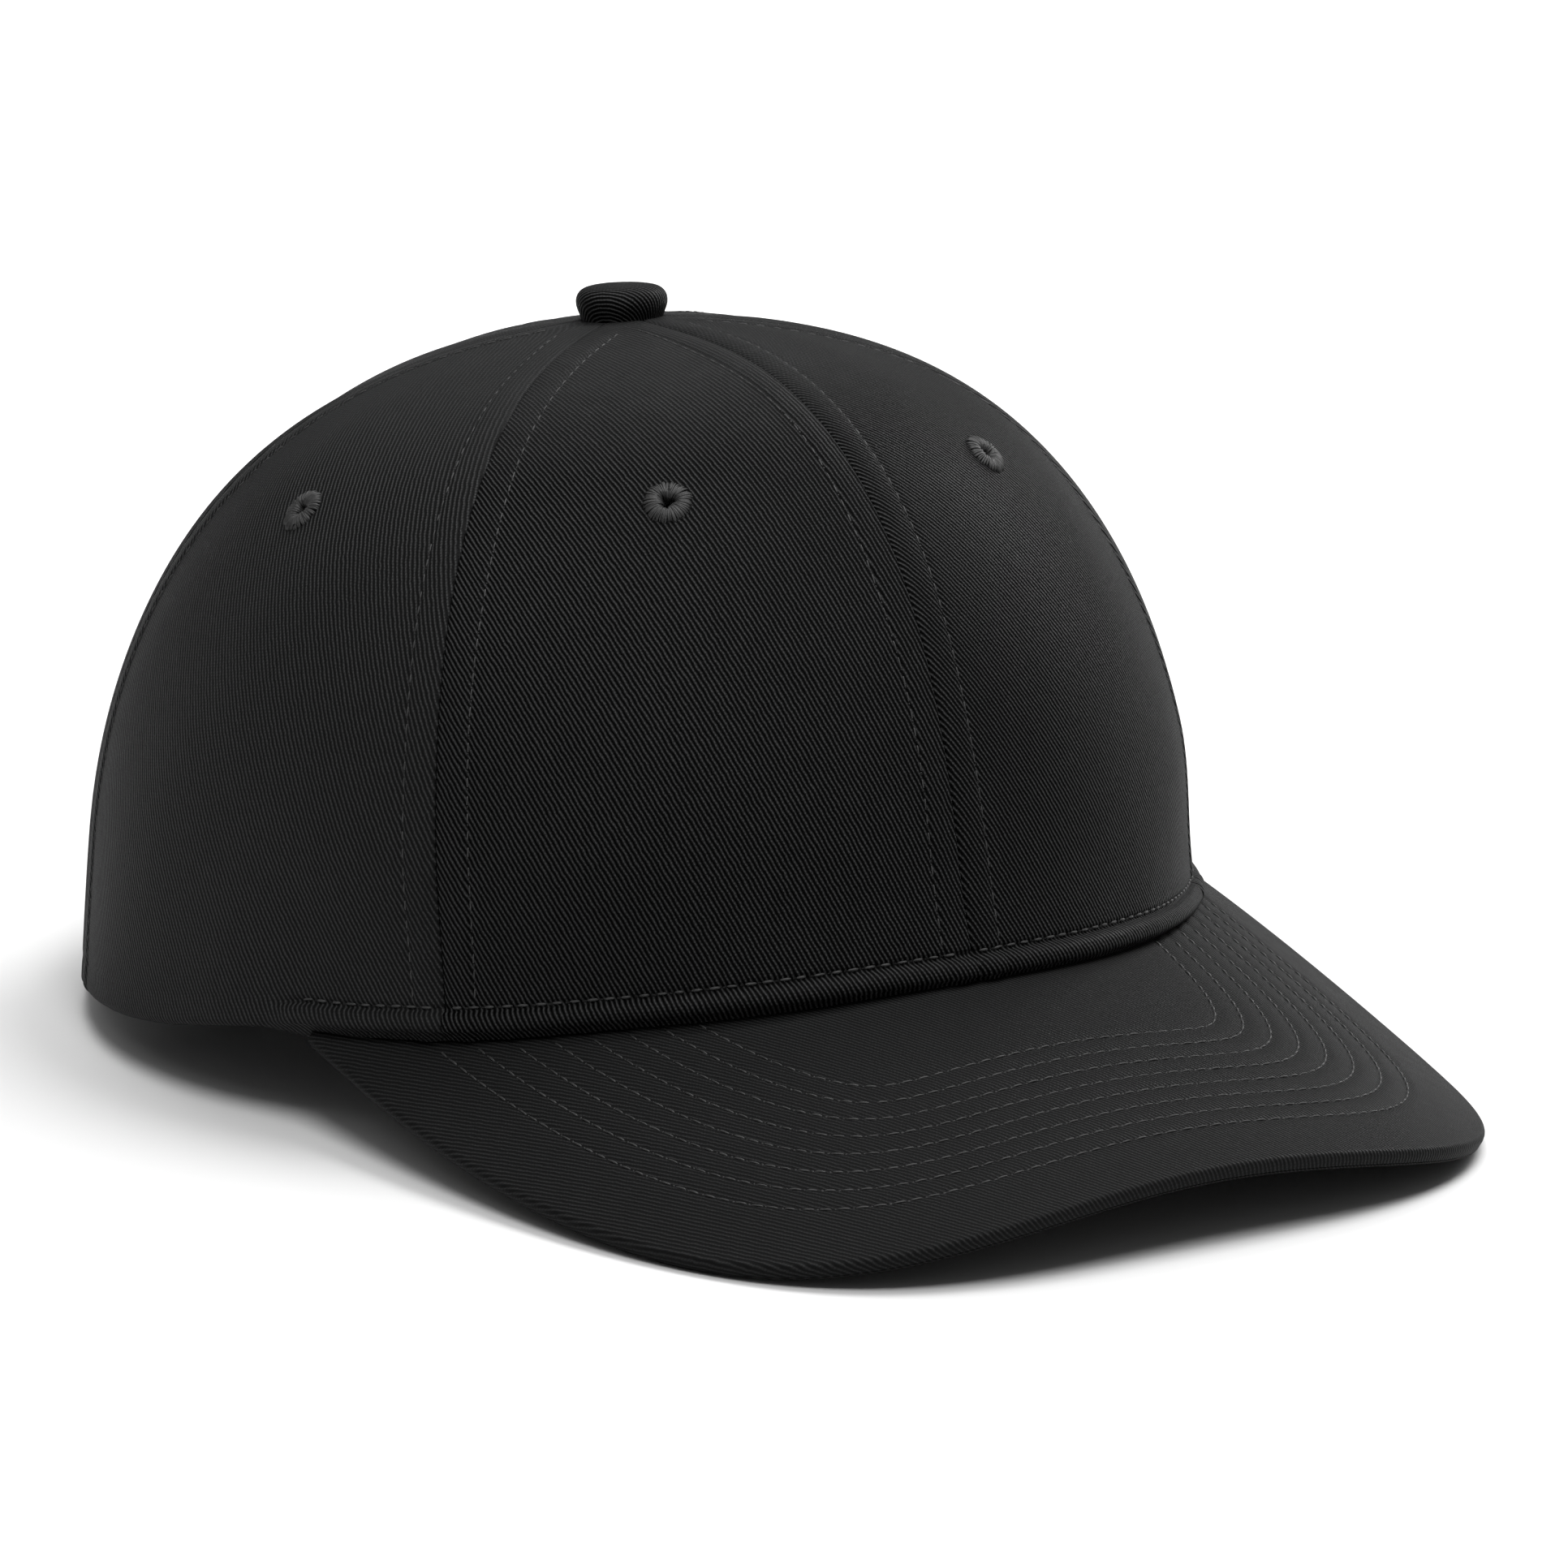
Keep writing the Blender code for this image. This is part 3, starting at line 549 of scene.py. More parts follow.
TWILL = {
    "front_right": twill("twill_front_right", angle=-65.0),
    "front_left": twill("twill_front_left", angle=-61.5, bump_size=0.55),
    "other": twill("twill_panels", dark=0.006, light=0.045, angle=-61.5, bump_size=0.36),
    # the visor is covered in the same twill: its softer ribs are its own, its much darker tone is painted shade
    # offsetting the lamps on its upturned face
    "visor": twill("twill_visor_painted_shade", dark=0.006, light=0.0225, angle=66.0, pitch=0.75, bump_size=0.18),
    "strap": twill("twill_strap", angle=-63.0),
}
THREAD = thread_material("black_thread", 0.036)
# the same black thread as on the crown, set darker for the visor as painted shade against the lamps on its upturned
# face
VISOR_THREAD = thread_material("visor_thread_painted_shade", 0.028)
# near-black: painted shade for the needle holes
NEEDLE_HOLE_SHADE = thread_material("needle_hole_painted_shade", 0.002)
EYE_THREAD = thread_material("eyelet_thread", 0.03)
TAPE = tape_material("seam_tape", 0.012)
BAND = tape_material("sweatband_cotton", 0.014, 0.45)
BUCKRAM = tape_material("buckram_mesh", 0.3, 0.8, 0.8)
BOARD = plastic_material("moulded_board", 0.6)
NICKEL = metal_material("dark_nickel", 0.13, 0.34)
STEEL = metal_material("bright_steel", 0.4, 0.28)

# ---------------------------------------------------------------- crown panels
PANELS = (
    ("panel_front_left", 0.0, FRONT_SEAM, 0.457, "front_left"),
    ("panel_side_left", FRONT_SEAM, REAR_SEAM, 0.475, "other"),
    ("panel_back_left", REAR_SEAM, PI, 0.52, "other"),
    ("panel_front_right", -FRONT_SEAM, 0.0, 0.457, "front_right"),
    ("panel_side_right", -REAR_SEAM, -FRONT_SEAM, 0.475, "other"),
    ("panel_back_right", -PI, -REAR_SEAM, 0.52, "other"),
)
ROLL = 3.5
STITCH_OUT = 5.5
TOP_RADIUS = 2.9
EYELET_HOLE = 1.7
PANEL_CLOTH = 0.9
LOW_PART = 12.0


def seam_relief(e, room, h, depth, radius):
    """Height of the cloth near a seam, e millimetres away from it: a rounded fold and a stitched lap."""
    k = np.clip(1 - e / radius, 0, 1)
    groove = -depth * (1 - np.sqrt(1 - 0.985 * k * k))
    groove = groove * mix(0.45, 1.0, smooth((h - ROLL) / 1.2))
    lap = 0.26 * smooth((e - 0.4) / 2.4) * (1 - smooth((e - STITCH_OUT + 0.8) / 1.6))
    stitch = -0.24 * bump(e - STITCH_OUT, 0.6)
    return groove * np.clip(room * 2.0, 0.6, 1) + (lap + stitch) * room


def hem_relief(t, h):
    """The rolled edge over the visor, and the plain fold behind it."""
    at = from_front(t)
    roll = 1 - smooth((at - math.radians(71.5)) / math.radians(4.0))
    tube = np.sqrt(np.clip(1 - ((h - ROLL / 2) / (ROLL / 2)) ** 2, 0, 1))
    proud = mix(1.55, 1.15, smooth((at - 0.5) / 0.4))
    pinch = -0.5 * bump(h - ROLL - 0.5, 0.55)
    rolled = np.where(h > ROLL + 0.3, pinch - 0.15 * bump(h - ROLL, 3.0), proud * tube - 0.15 + pinch)
    fold = -0.7 * np.clip(1 - h / 1.3, 0, 1) ** 2 - 0.1 * bump(h - 5.0, 0.8)
    return roll * rolled + (1 - roll) * fold + body_shift(t, h)


def wander(t, h):
    """Slow unevenness of the cloth over the crown."""
    x, y = t * 90.0, h
    return 0.16 * np.sin(x / 13.0 + 1.3) * np.sin(y / 17.0 + 0.4) + 0.11 * np.sin(x / 7.1 - y / 11.0)


def across_steps(width):
    """Positions across a panel, close together at its seams."""
    edge = np.array([
        0, 0.05, 0.13, 0.25, 0.4, 0.58, 0.8, 1.05, 1.35, 1.7, 2.1, 2.6,
        3.2, 3.9, 4.5, 4.9, 5.2, 5.5, 5.8, 6.1, 6.6, 7.4, 8.5,
    ])
    middle = np.linspace(9.6, width - 9.6, int((width - 19) / 1.7))
    return np.concatenate([edge, middle, width - edge[::-1]]) / width


def up_steps(length):
    low = np.concatenate([np.arange(0, 6.2, 0.3), np.arange(6.7, 12, 0.8)])
    rest = np.linspace(low[-1] + 1.3, length, int((length - low[-1]) / 1.45))
    return np.concatenate([low, rest])


def meridian(t, span):
    """v against height along the cloth, for one plan angle."""
    top = float(v_at_radius(np.array([t]), TOP_RADIUS)[0])
    v = np.linspace(0, top, 500)
    return v, distance_along(crown(t, v, span))


HEM_LIFT = (
    (-180, 0), (-105, 0), (-90, -1.0), (-76, -1.1), (-60, 0.4), (-40, 0.5), (-20, -0.1), (0, -0.7),
    (15, -0.6), (35, 0.2), (55, 0.9), (72, 0.9), (95, 0), (180, 0),
)


def hem_lift(t, h):
    """The hem's small departures from its drawn height, where it was sewn down on the visor."""
    turn = np.degrees((np.asarray(t) + PI) % (2 * PI) - PI)
    keys = np.array(HEM_LIFT)
    return np.interp(turn, keys[:, 0], keys[:, 1]) * (1 - smooth(np.asarray(h) / 28.0))


def fold_of(seam, side):
    """Depth and radius of the fold at a seam; side is +1 on the side of larger plan angles."""
    if seam == 0.0:
        return (0.9, 1.5) if side > 0 else (0.8, 0.8)
    return 0.85, 0.85


def panel_surface(span, t, v, h):
    """Points of a panel's outer face with its seams and hem."""
    base = crown(t, v, span)
    radius = np.hypot(base[..., 0], base[..., 1] - TOP_Y)
    left = radius * (t - span[0])
    right = radius * (span[1] - t)
    room = np.clip((radius - 9.0) / 14.0, 0, 1)
    relief = seam_relief(left, room, h, *fold_of(span[0], 1))
    relief = relief + seam_relief(right, room, h, *fold_of(span[1], -1))
    relief = relief + hem_relief(t, h) + wander(t, h) * np.clip(room, 0, 1)
    points = base + crown_normal(t, v, span) * relief[..., None]
    points[..., 2] += hem_lift(t, h)
    return points


ARCH_HALF = float(crown(back_angle(OPENING_HALF), 0.0)[0])


def on_back(x, z):
    """Plan angle and v of the back point at a given x and height."""
    side = np.where(x < 0, -1.0, 1.0)
    t = PI - np.abs(x) / 92.0
    for _ in range(25):
        t = np.minimum(t - (np.abs(x) - crown(t, v_at_height(t, z))[..., 0]) / RIM_HALF_WIDTH, PI)
    return side * t, v_at_height(t, z)


def cut_arch(T, V, H, points):
    """Pulls the grid's border onto the arch over the strap, and says which faces are left."""
    x, z = points[..., 0], np.maximum(points[..., 2], 0.0)
    k = np.hypot(x / ARCH_HALF, z / OPENING_HEIGHT)
    inside = k < 1.0
    corners = inside[:-1, :-1] & inside[1:, :-1] & inside[1:, 1:] & inside[:-1, 1:]
    keep = ~corners
    used = np.zeros_like(inside)
    for di in (0, 1):
        for dj in (0, 1):
            used[di:used.shape[0] - 1 + di, dj:used.shape[1] - 1 + dj] |= keep
    snap = inside & used & (k > 0.3)
    t, v = on_back(x[snap] / k[snap], z[snap] / k[snap])
    H[snap] += z[snap] / k[snap] - z[snap]
    T[snap], V[snap] = t, v
    return keep


def make_panel(name, left, right, eyelet_up, cloth):
    span = (left, right)
    width = 0.5 * (RIM_HALF_LENGTH + RIM_HALF_WIDTH) * (right - left)
    ks = across_steps(width)
    middle = 0.5 * (left + right)
    lengths = [meridian(mix(left, right, k), span) for k in ks]
    mid_length = meridian(middle, span)[1][-1]
    steps = up_steps(mid_length)
    low = steps < LOW_PART
    T, V, H = [], [], []
    for k, (v, run) in zip(ks, lengths):
        rest = (steps - LOW_PART) / (mid_length - LOW_PART)
        h = np.where(low, steps, LOW_PART + rest * (run[-1] - LOW_PART))
        vv = np.interp(h, run, v)
        t = mix(left, right, k)
        radius = np.hypot(*(crown(t, vv, span)[..., :2] - [0, TOP_Y]).T)
        margin = np.minimum(0.03 / radius, 0.02)
        T.append(np.clip(mix(left + margin, right - margin, k), left, right))
        V.append(vv)
        H.append(h)
    T, V, H = np.array(T), np.array(V), np.array(H)
    plain = crown(T, V, span)
    left_over = cut_arch(T, V, H, plain) if "back" in name else True
    points = panel_surface(span, T, V, H)
    plain = crown(T, V, span)
    radius = np.hypot(plain[..., 0], plain[..., 1] - TOP_Y)
    uv = np.stack([(T - middle) * radius, H], -1)
    centre = crown(middle, eyelet_up, span)
    quad = 0.25 * (plain[:-1, :-1] + plain[1:, :-1] + plain[1:, 1:] + plain[:-1, 1:])
    keep = (np.linalg.norm(quad - centre, axis=-1) > EYELET_HOLE) & left_over
    faces = grid_faces(*T.shape, keep=keep)
    cloth_at = uv
    points, uv, faces = turn_hem(T, points, uv, faces, crown_normal(T[:, 0], V[:, 0], span))
    obj = mesh_object(name + "_cloth", points, faces, uv)
    under = ["sweatband"]
    if "front" in name:
        under.append(name.replace("panel_front", "buckram"))
        make_buckram(under[-1], span, T, V, H, cloth_at, keep)
    sew(obj, PANEL_CLOTH, TWILL[cloth], name)
    make_eyelet(name.replace("panel", "eyelet"), centre, crown_normal(middle, eyelet_up, span))


def turn_hem(T, points, uv, faces, normal):
    """Carries the hem round under its fold, down to the visor where there is one."""
    cols = T.shape[0]
    at = np.abs(T[:, 0])
    over = 1 - smooth((at - math.radians(70.0)) / math.radians(7.0))
    edge = points[:, 0]
    rows, marks = [], []
    for inward, down in ((0.35, 0.35), (0.9, 0.8), (1.6, 1.5), (2.4, 2.3)):
        rows.append(edge - normal * (inward * over)[:, None] - np.array([0, 0, 1.0]) * (down * over)[:, None])
        marks.append(uv[:, 0] - [0, 1.0] * (down * np.maximum(over, 0.02))[:, None])
    count = T.size
    base = points.reshape(-1, 3)
    verts = np.concatenate([base, np.concatenate(rows)])
    cloth = np.concatenate([uv.reshape(-1, 2), np.concatenate(marks)])
    top = np.arange(cols) * T.shape[1]
    more = []
    picked = np.where((over[:-1] > 0.02) & (over[1:] > 0.02))[0]
    for k in range(len(rows)):
        low = count + k * cols + np.arange(cols)
        more.append(np.stack([low[picked], low[picked + 1], top[picked + 1], top[picked]], -1))
        top = low
    return verts, cloth, np.concatenate([faces] + more)


def make_buckram(name, span, T, V, H, uv, keep):
    """Stiff open-weave lining fused behind a front panel, short of its seams and hem."""
    rows = slice(4, -7)
    cols = slice(3, -3)
    T, V, H, uv = (grid[cols, rows] for grid in (T, V, H, uv))
    normal = crown_normal(T, V, span)
    depth = PANEL_THICK + 0.35
    points = panel_surface(span, T, V, np.maximum(H, 6.0)) - normal * depth
    points = points + normal * (body_shift(T, H) - body_shift(T, np.maximum(H, 6.0)))[..., None]
    faces = grid_faces(*T.shape, keep=keep[3:-3, 4:-7])
    obj = mesh_object(name + "_cloth", points.reshape(-1, 3), faces, uv.reshape(-1, 2))
    sew(obj, 0.7, BUCKRAM, name)


def frame_at(normal):
    """Two axes across a normal, the first level."""
    side = np.cross([0, 0, 1.0], normal)
    side /= np.linalg.norm(side)
    return side, np.cross(normal, side)


TUBE_SIDES = 6


def capsule(path, radii):
    """Rings of a tube along a short path."""
    along = unit(np.gradient(path, axis=0))
    side = unit(np.cross(along, [0.31, 0.27, 0.91]))
    other = np.cross(along, side)
    ring = np.linspace(0, 2 * PI, TUBE_SIDES, endpoint=False)
    round_it = side[:, None] * np.cos(ring)[None, :, None] + other[:, None] * np.sin(ring)[None, :, None]
    return path[:, None] + round_it * np.asarray(radii)[:, None, None]


def tubes_object(name, tubes):
    verts, faces, sides = [], [], TUBE_SIDES
    for rings in tubes:
        base = sum(len(v) for v in verts)
        n = rings.shape[0]
        verts.append(rings.reshape(-1, 3))
        for i in range(n - 1):
            for j in range(sides):
                a = base + i * sides + j
                b = base + i * sides + (j + 1) % sides
                faces.append((a, a + sides, b + sides, b))
        faces.append(tuple(base + j for j in range(sides)))
        faces.append(tuple(base + (n - 1) * sides + j for j in range(sides))[::-1])
    return mesh_object(name, np.concatenate(verts), faces)


EYELET_THREADS = 64
EYELET_RADIUS = 4.15


def make_eyelet(name, centre, normal):
    """Embroidered ring: threads laid from the hole outward over the cloth, with a ragged small hole."""
    u, w = frame_at(normal)
    tubes = []
    k = np.linspace(0, 1, 8)
    for i in range(EYELET_THREADS):
        a = 2 * PI * (i + RNG.uniform(-0.25, 0.25)) / EYELET_THREADS
        inner = 0.85 + 0.25 * math.sin(3 * a + 1.0) + RNG.uniform(-0.15, 0.3)
        outer = EYELET_RADIUS + RNG.uniform(-0.3, 0.2)
        lean = RNG.uniform(-0.05, 0.05)
        r = mix(inner, outer, k)
        lift = 0.42 * np.sin(PI * np.clip(k * 0.9 + 0.14, 0, 1)) ** 0.6
        lift = lift - 1.1 * np.clip(1 - k * 5, 0, 1) - 0.25 * k**6
        angle = a + lean * k
        path = centre + (u * np.cos(angle)[:, None] + w * np.sin(angle)[:, None]) * r[:, None]
        path = path + normal * (lift + 0.12 - r * r / 190.0 + 0.07 * RNG.uniform(-1, 1))[:, None]
        tubes.append(capsule(path, mix(0.15, 0.25, k) * np.array([0.7, 1, 1, 1, 1, 1, 0.9, 0.5])))
    ring = np.linspace(0, 2 * PI, 25)
    round_path = u * np.cos(ring)[:, None] + w * np.sin(ring)[:, None]
    tubes.append(capsule(centre + round_path * 2.5 - normal * 0.35, np.full(25, 0.7)))
    tubes.append(capsule(centre + round_path * 1.35 - normal * 1.3, np.full(25, 0.4)))
    obj = tubes_object(name + "_thread", tubes)
    finish_piece(obj, EYE_THREAD, name)


for panel in PANELS:
    make_panel(*panel)


# ---------------------------------------------------------------- seam and hem stitching
def seam_paths():
    paths = []
    for seam in SEAMS[1:]:
        for side in (-1, 1):
            index = SEAMS.index(seam)
            if side < 0:
                span = (SEAMS[index - 1], seam)
            else:
                span = (seam, SEAMS[index + 1]) if index < 6 else (-PI, -REAR_SEAM)
            base = seam if not (index == 6 and side > 0) else -PI
            v, run = meridian(base + side * 0.02, span)
            first = 5.4
            if abs(abs(seam) - PI) < 1e-6:
                first = float(np.interp(v_at_height(np.array([PI]), OPENING_HEIGHT + 1.0)[0], v, run))
            h = np.arange(first, run[-1] - 9.0, 0.8)
            vv = np.interp(h, run, v)
            plain = crown(base, vv, span)
            radius = np.hypot(plain[:, 0], plain[:, 1] - TOP_Y)
            out = STITCH_OUT + 0.15 * np.sin(h / 9.0 + seam)
            t = base + side * out / radius
            points = panel_surface(span, t, vv, h)
            paths.append((points, crown_normal(t, vv, span)))
    return paths


def hem_paths():
    paths = []
    reach = math.radians(72.0)
    spans = ((-FRONT_SEAM, 0.0), (0.0, FRONT_SEAM), (-REAR_SEAM, -FRONT_SEAM), (FRONT_SEAM, REAR_SEAM))
    for left, right in spans:
        lo, hi = max(left, -reach), min(right, reach)
        t = np.arange(lo + 0.012, hi - 0.008, 0.008)
        points, normals = [], []
        for a in t:
            v, run = meridian(a, (left, right))
            h = ROLL + 0.75
            vv = float(np.interp(h, run, v))
            points.append(panel_surface((left, right), np.array([a]), np.array([vv]), np.array([h]))[0])
            normals.append(crown_normal(a, vv, (left, right)))
        paths.append((np.array(points), np.array(normals)))
    return paths


def arch_paths():
    """A row round the outside of the back opening."""
    paths = []
    for low, high in ((0.12, PI / 2 - 0.03), (PI / 2 + 0.03, PI - 0.12)):
        angle = np.linspace(low, high, 90)
        t, v = on_back((ARCH_HALF + 5.2) * np.cos(angle), (OPENING_HEIGHT + 5.2) * np.sin(angle))
        paths.append((skin(t, v, 0.0), crown_normal(t, v)))
    return paths


SEAM_ROWS = seam_paths()
stitches("seam_stitches", SEAM_ROWS, THREAD, length=1.8, pitch=2.9, radius=0.15, lift=0.0)
needle_holes("seam_needle_holes", SEAM_ROWS, 2.9, 0.2)
HEM_ROWS = hem_paths()
stitches("hem_stitches", HEM_ROWS, THREAD, length=1.9, pitch=2.9, radius=0.24, lift=0.12)
needle_holes("hem_needle_holes", HEM_ROWS, 2.9, 0.34)
stitches("arch_stitches", arch_paths(), THREAD, length=2.2, pitch=3.0, radius=0.2, lift=0.1)


# ---------------------------------------------------------------- visor
def outline(count):
    """The visor's edge in plan, from the wearer's right to left, at even steps."""
    cx, cy = rim_xy(VISOR_END)
    psi = np.radians(np.linspace(-90, 90, 1441))
    s, c = np.sin(psi), np.abs(np.cos(psi))
    x = cx * np.sign(s) * np.abs(s) ** (2 / VISOR_SQUARE_X) * (1 + VISOR_SWELL * c)
    y = cy - VISOR_REACH * c ** (2 / VISOR_SQUARE_Y)
    path = np.stack([x, y], -1)
    run = distance_along(path)
    return sample(path, run, np.linspace(0, run[-1], count))


def visor_normal(x):
    tilt = x / np.sqrt(VISOR_BEND**2 - x * x)
    n = np.stack([tilt, np.full_like(x, -VISOR_SLOPE), np.ones_like(x)], -1)
    return n / np.linalg.norm(n, axis=-1, keepdims=True)


def visor_point(xy, depth):
    """A point of the sewn visor, which sits a touch lower on the wearer's right near the crown."""
    x, y = xy[..., 0], xy[..., 1]
    sit = 0.023 * x * (1 - smooth((-y - 45.0) / 75.0))
    return np.stack([x, y, visor_z(x, y) + sit], -1) - visor_normal(x) * np.asarray(depth)[..., None]


STEEP = math.sqrt(1 + VISOR_SLOPE**2)


def flat_from_xy(xy):
    """The visor unrolled: width along the bend, and distance forward."""
    s = VISOR_BEND * np.arcsin(xy[..., 0] / VISOR_BEND)
    return np.stack([s, (-xy[..., 1] - RIM_HALF_LENGTH) * STEEP], -1)


def xy_from_flat(sf):
    return np.stack([VISOR_BEND * np.sin(sf[..., 0] / VISOR_BEND), -sf[..., 1] / STEEP - RIM_HALF_LENGTH], -1)


EDGE_FLAT = flat_from_xy(outline(700))
FIRST_ROW = 13.55
ROW_STEP = 4.66


def edge_distance(xy):
    flat = flat_from_xy(xy).reshape(-1, 2)
    best = np.full(len(flat), 1e9)
    for start in range(0, len(EDGE_FLAT), 100):
        part = EDGE_FLAT[start:start + 100]
        best = np.minimum(best, np.linalg.norm(flat[:, None] - part[None], axis=-1).min(1))
    return best.reshape(xy.shape[:-1])


def quilting(distance):
    relief = np.zeros_like(distance)
    for k in range(8):
        relief -= 0.2 * bump(distance - FIRST_ROW - ROW_STEP * k, 0.75)
    return relief


def row_path(distance):
    """One stitch row: an even distance inside the visor's edge, up to the crown."""
    edge = flat_from_xy(outline(500))
    along = unit(np.gradient(edge, axis=0))
    inward = np.stack([along[:, 1], -along[:, 0]], -1)
    if (edge[250] + inward[250] * 5)[1] > edge[250][1]:
        inward = -inward
    moved = edge + inward * distance
    gap = np.linalg.norm(moved[:, None] - EDGE_FLAT[None], axis=-1).min(1)
    moved = moved[gap > distance * 0.985]
    xy = xy_from_flat(moved)
    t = np.arctan2(xy[:, 0] / (RIM_HALF_WIDTH / RIM_HALF_LENGTH), -xy[:, 1])
    rx, ry = rim_xy(t)
    outside = np.hypot(xy[:, 0], xy[:, 1]) > np.hypot(rx, ry) - 0.5
    return xy[outside & (np.abs(t) < VISOR_END)]


def visor_rows(inset, along=260, out=64):
    """A grid over the visor in plan, from under the crown out to an even distance inside the edge."""
    edge = outline(along)
    step = unit(np.gradient(edge, axis=0))
    edge = edge + np.stack([-step[:, 1], step[:, 0]], -1) * inset
    t = np.linspace(-VISOR_END, VISOR_END, along)
    hem = np.stack(rim_xy(t), -1)
    start = hem * (1 - 2.0 / np.linalg.norm(hem, axis=1, keepdims=True))
    k = 1 - (1 - np.linspace(0, 1, out)) ** 1.35
    return start[:, None] * (1 - k)[None, :, None] + edge[:, None] * k[None, :, None]


def over_edge(cover, xy, steps):
    """A cover's grid carried on over the visor's edge, by pairs of reach outward and depth below the top."""
    edge = xy[:, -1]
    step = unit(np.gradient(edge, axis=0))
    outward = np.stack([step[:, 1], -step[:, 0]], -1)
    rows = [visor_point(edge + outward * reach, np.full(len(edge), depth))[:, None] for reach, depth in steps]
    return np.concatenate([cover] + rows, axis=1)


def visor_layer(name, points, uv, flip=True):
    faces = grid_faces(*points.shape[:2], flip=flip)
    return mesh_object(name, points.reshape(-1, 3), faces, uv.reshape(-1, 2))


VISOR_ROUND = 0.95
UNDER_DEPTH = 3.0
BOARD_DEPTH = 0.85


def make_visor():
    xy = visor_rows(VISOR_ROUND)
    steps = [(VISOR_ROUND * math.sin(a), VISOR_ROUND * (1 - math.cos(a))) for a in np.radians([12, 28, 45, 62, 78, 90])]
    steps += [(VISOR_ROUND + 0.06 * math.sin(depth * 2), depth) for depth in (1.25, 1.6, 1.95, 2.3)]
    points = over_edge(visor_point(xy, -quilting(edge_distance(xy))), xy, steps)
    flat = flat_from_xy(xy)
    run = np.cumsum(np.linalg.norm(np.diff(points[:, -len(steps) - 1:], axis=1), axis=-1), axis=1)
    more = flat[:, -1][:, None] + unit(flat[:, -1] - flat[:, -2])[:, None] * run[..., None]
    top = visor_layer("visor_top_cloth", points, np.concatenate([flat, more], axis=1))
    sew(top, 0.45, TWILL["visor"], "visor_top_cover")

    xy = visor_rows(1.3, 160, 24)
    xy[:, 0] = mix(xy[:, 0], xy[:, 1], 0.5)
    board = visor_layer("visor_board_sheet", visor_point(xy, BOARD_DEPTH), flat_from_xy(xy))
    thicken(board, 1.3)
    finish_piece(board, BOARD, "visor_board")

    xy = visor_rows(0.7)
    steps = [(0.6 * math.sin(a), UNDER_DEPTH - 0.55 * (1 - math.cos(a))) for a in np.radians([20, 45, 70, 90])]
    points = over_edge(visor_point(xy, UNDER_DEPTH + quilting(edge_distance(xy)) * 0.7), xy, steps)
    flat = flat_from_xy(xy)
    more = np.repeat(flat[:, -1:], 4, axis=1) + np.arange(1, 5)[None, :, None] * 0.25
    under = visor_layer("visor_under_cloth", points, np.concatenate([flat, more], axis=1), flip=False)
    sew(under, 0.35, TWILL["visor"], "visor_under_cover")

    upper, lower = [], []
    for k in range(8):
        xy = row_path(FIRST_ROW + ROW_STEP * k)
        path = resample(xy, 0.8)
        upper.append((visor_point(path, np.full(len(path), 0.16)), visor_normal(path[:, 0])))
        lower.append((visor_point(path, np.full(len(path), 2.88)), -visor_normal(path[:, 0])))
    sewing = dict(length=2.2, pitch=2.95, radius=0.19, lift=0.04)
    stitches("visor_stitches", upper, VISOR_THREAD, **sewing)
    needle_holes("visor_needle_holes", upper, sewing["pitch"], 0.24)
    stitches("visor_under_stitches", lower, VISOR_THREAD, **sewing)


make_visor()


# ---------------------------------------------------------------- button
def make_button():
    """A cloth-covered button: a low barrel with a nearly flat top, standing a touch off the crown's axis."""
    key = np.array([
        (0, 5.15), (3.0, 5.08), (5.2, 4.92), (6.5, 4.6), (7.35, 3.95), (7.8, 3.0),
        (7.85, 2.1), (7.65, 1.2), (7.25, 0.3), (6.95, -0.5), (6.8, -1.4),
    ])
    run = distance_along(key)
    fine = np.linspace(0, run[-1], 64)
    r = np.interp(fine, run, key[:, 0])
    z = np.interp(fine, run, key[:, 1])
    kernel = np.array([1, 4, 6, 4, 1]) / 16.0
    for _ in range(5):
        r[2:-2] = np.convolve(r, kernel, "valid")
        z[2:-2] = np.convolve(z, kernel, "valid")
    angles = np.linspace(0, 2 * PI, 97)[:, None]
    gather = 1 + 0.008 * np.sin(angles * 13) * smooth((fine - 9.5) / 3)[None]
    level = np.broadcast_to(z, (97, 64))
    points = np.stack([r * np.cos(angles) * gather, r * np.sin(angles) * gather, level], -1)
    lean = np.array(Matrix.Rotation(math.radians(-2.0), 3, (-0.55, -0.83, 0.0)))
    points = points @ lean.T + np.array([0.5, TOP_Y, CROWN_HEIGHT + 0.12])
    uv = np.stack([fine * np.cos(angles), fine * np.sin(angles)], -1)
    obj = mesh_object("button_cloth", points.reshape(-1, 3), grid_faces(97, 64, flip=True), uv.reshape(-1, 2))
    thicken(obj, 0.5)
    finish_piece(obj, TWILL["button"], "button_cover")


TWILL["button"] = twill("twill_button", angle=-55.5, pitch=0.74, bump_size=0.3)
make_button()


# ---------------------------------------------------------------- inside: band, tapes, binding
def strip(name, points, uv, thick, material, node):
    """A cloth strip from a grid of points, thickened and carried with the cap in place of the part named, which is
    hidden.
    """
    obj = mesh_object(name, points.reshape(-1, 3), grid_faces(*points.shape[:2]), uv.reshape(-1, 2))
    sew(obj, thick, material, node)


BAND_THICK = 1.1
TAPE_HALF = 6
TAPE_STITCH = 4.6


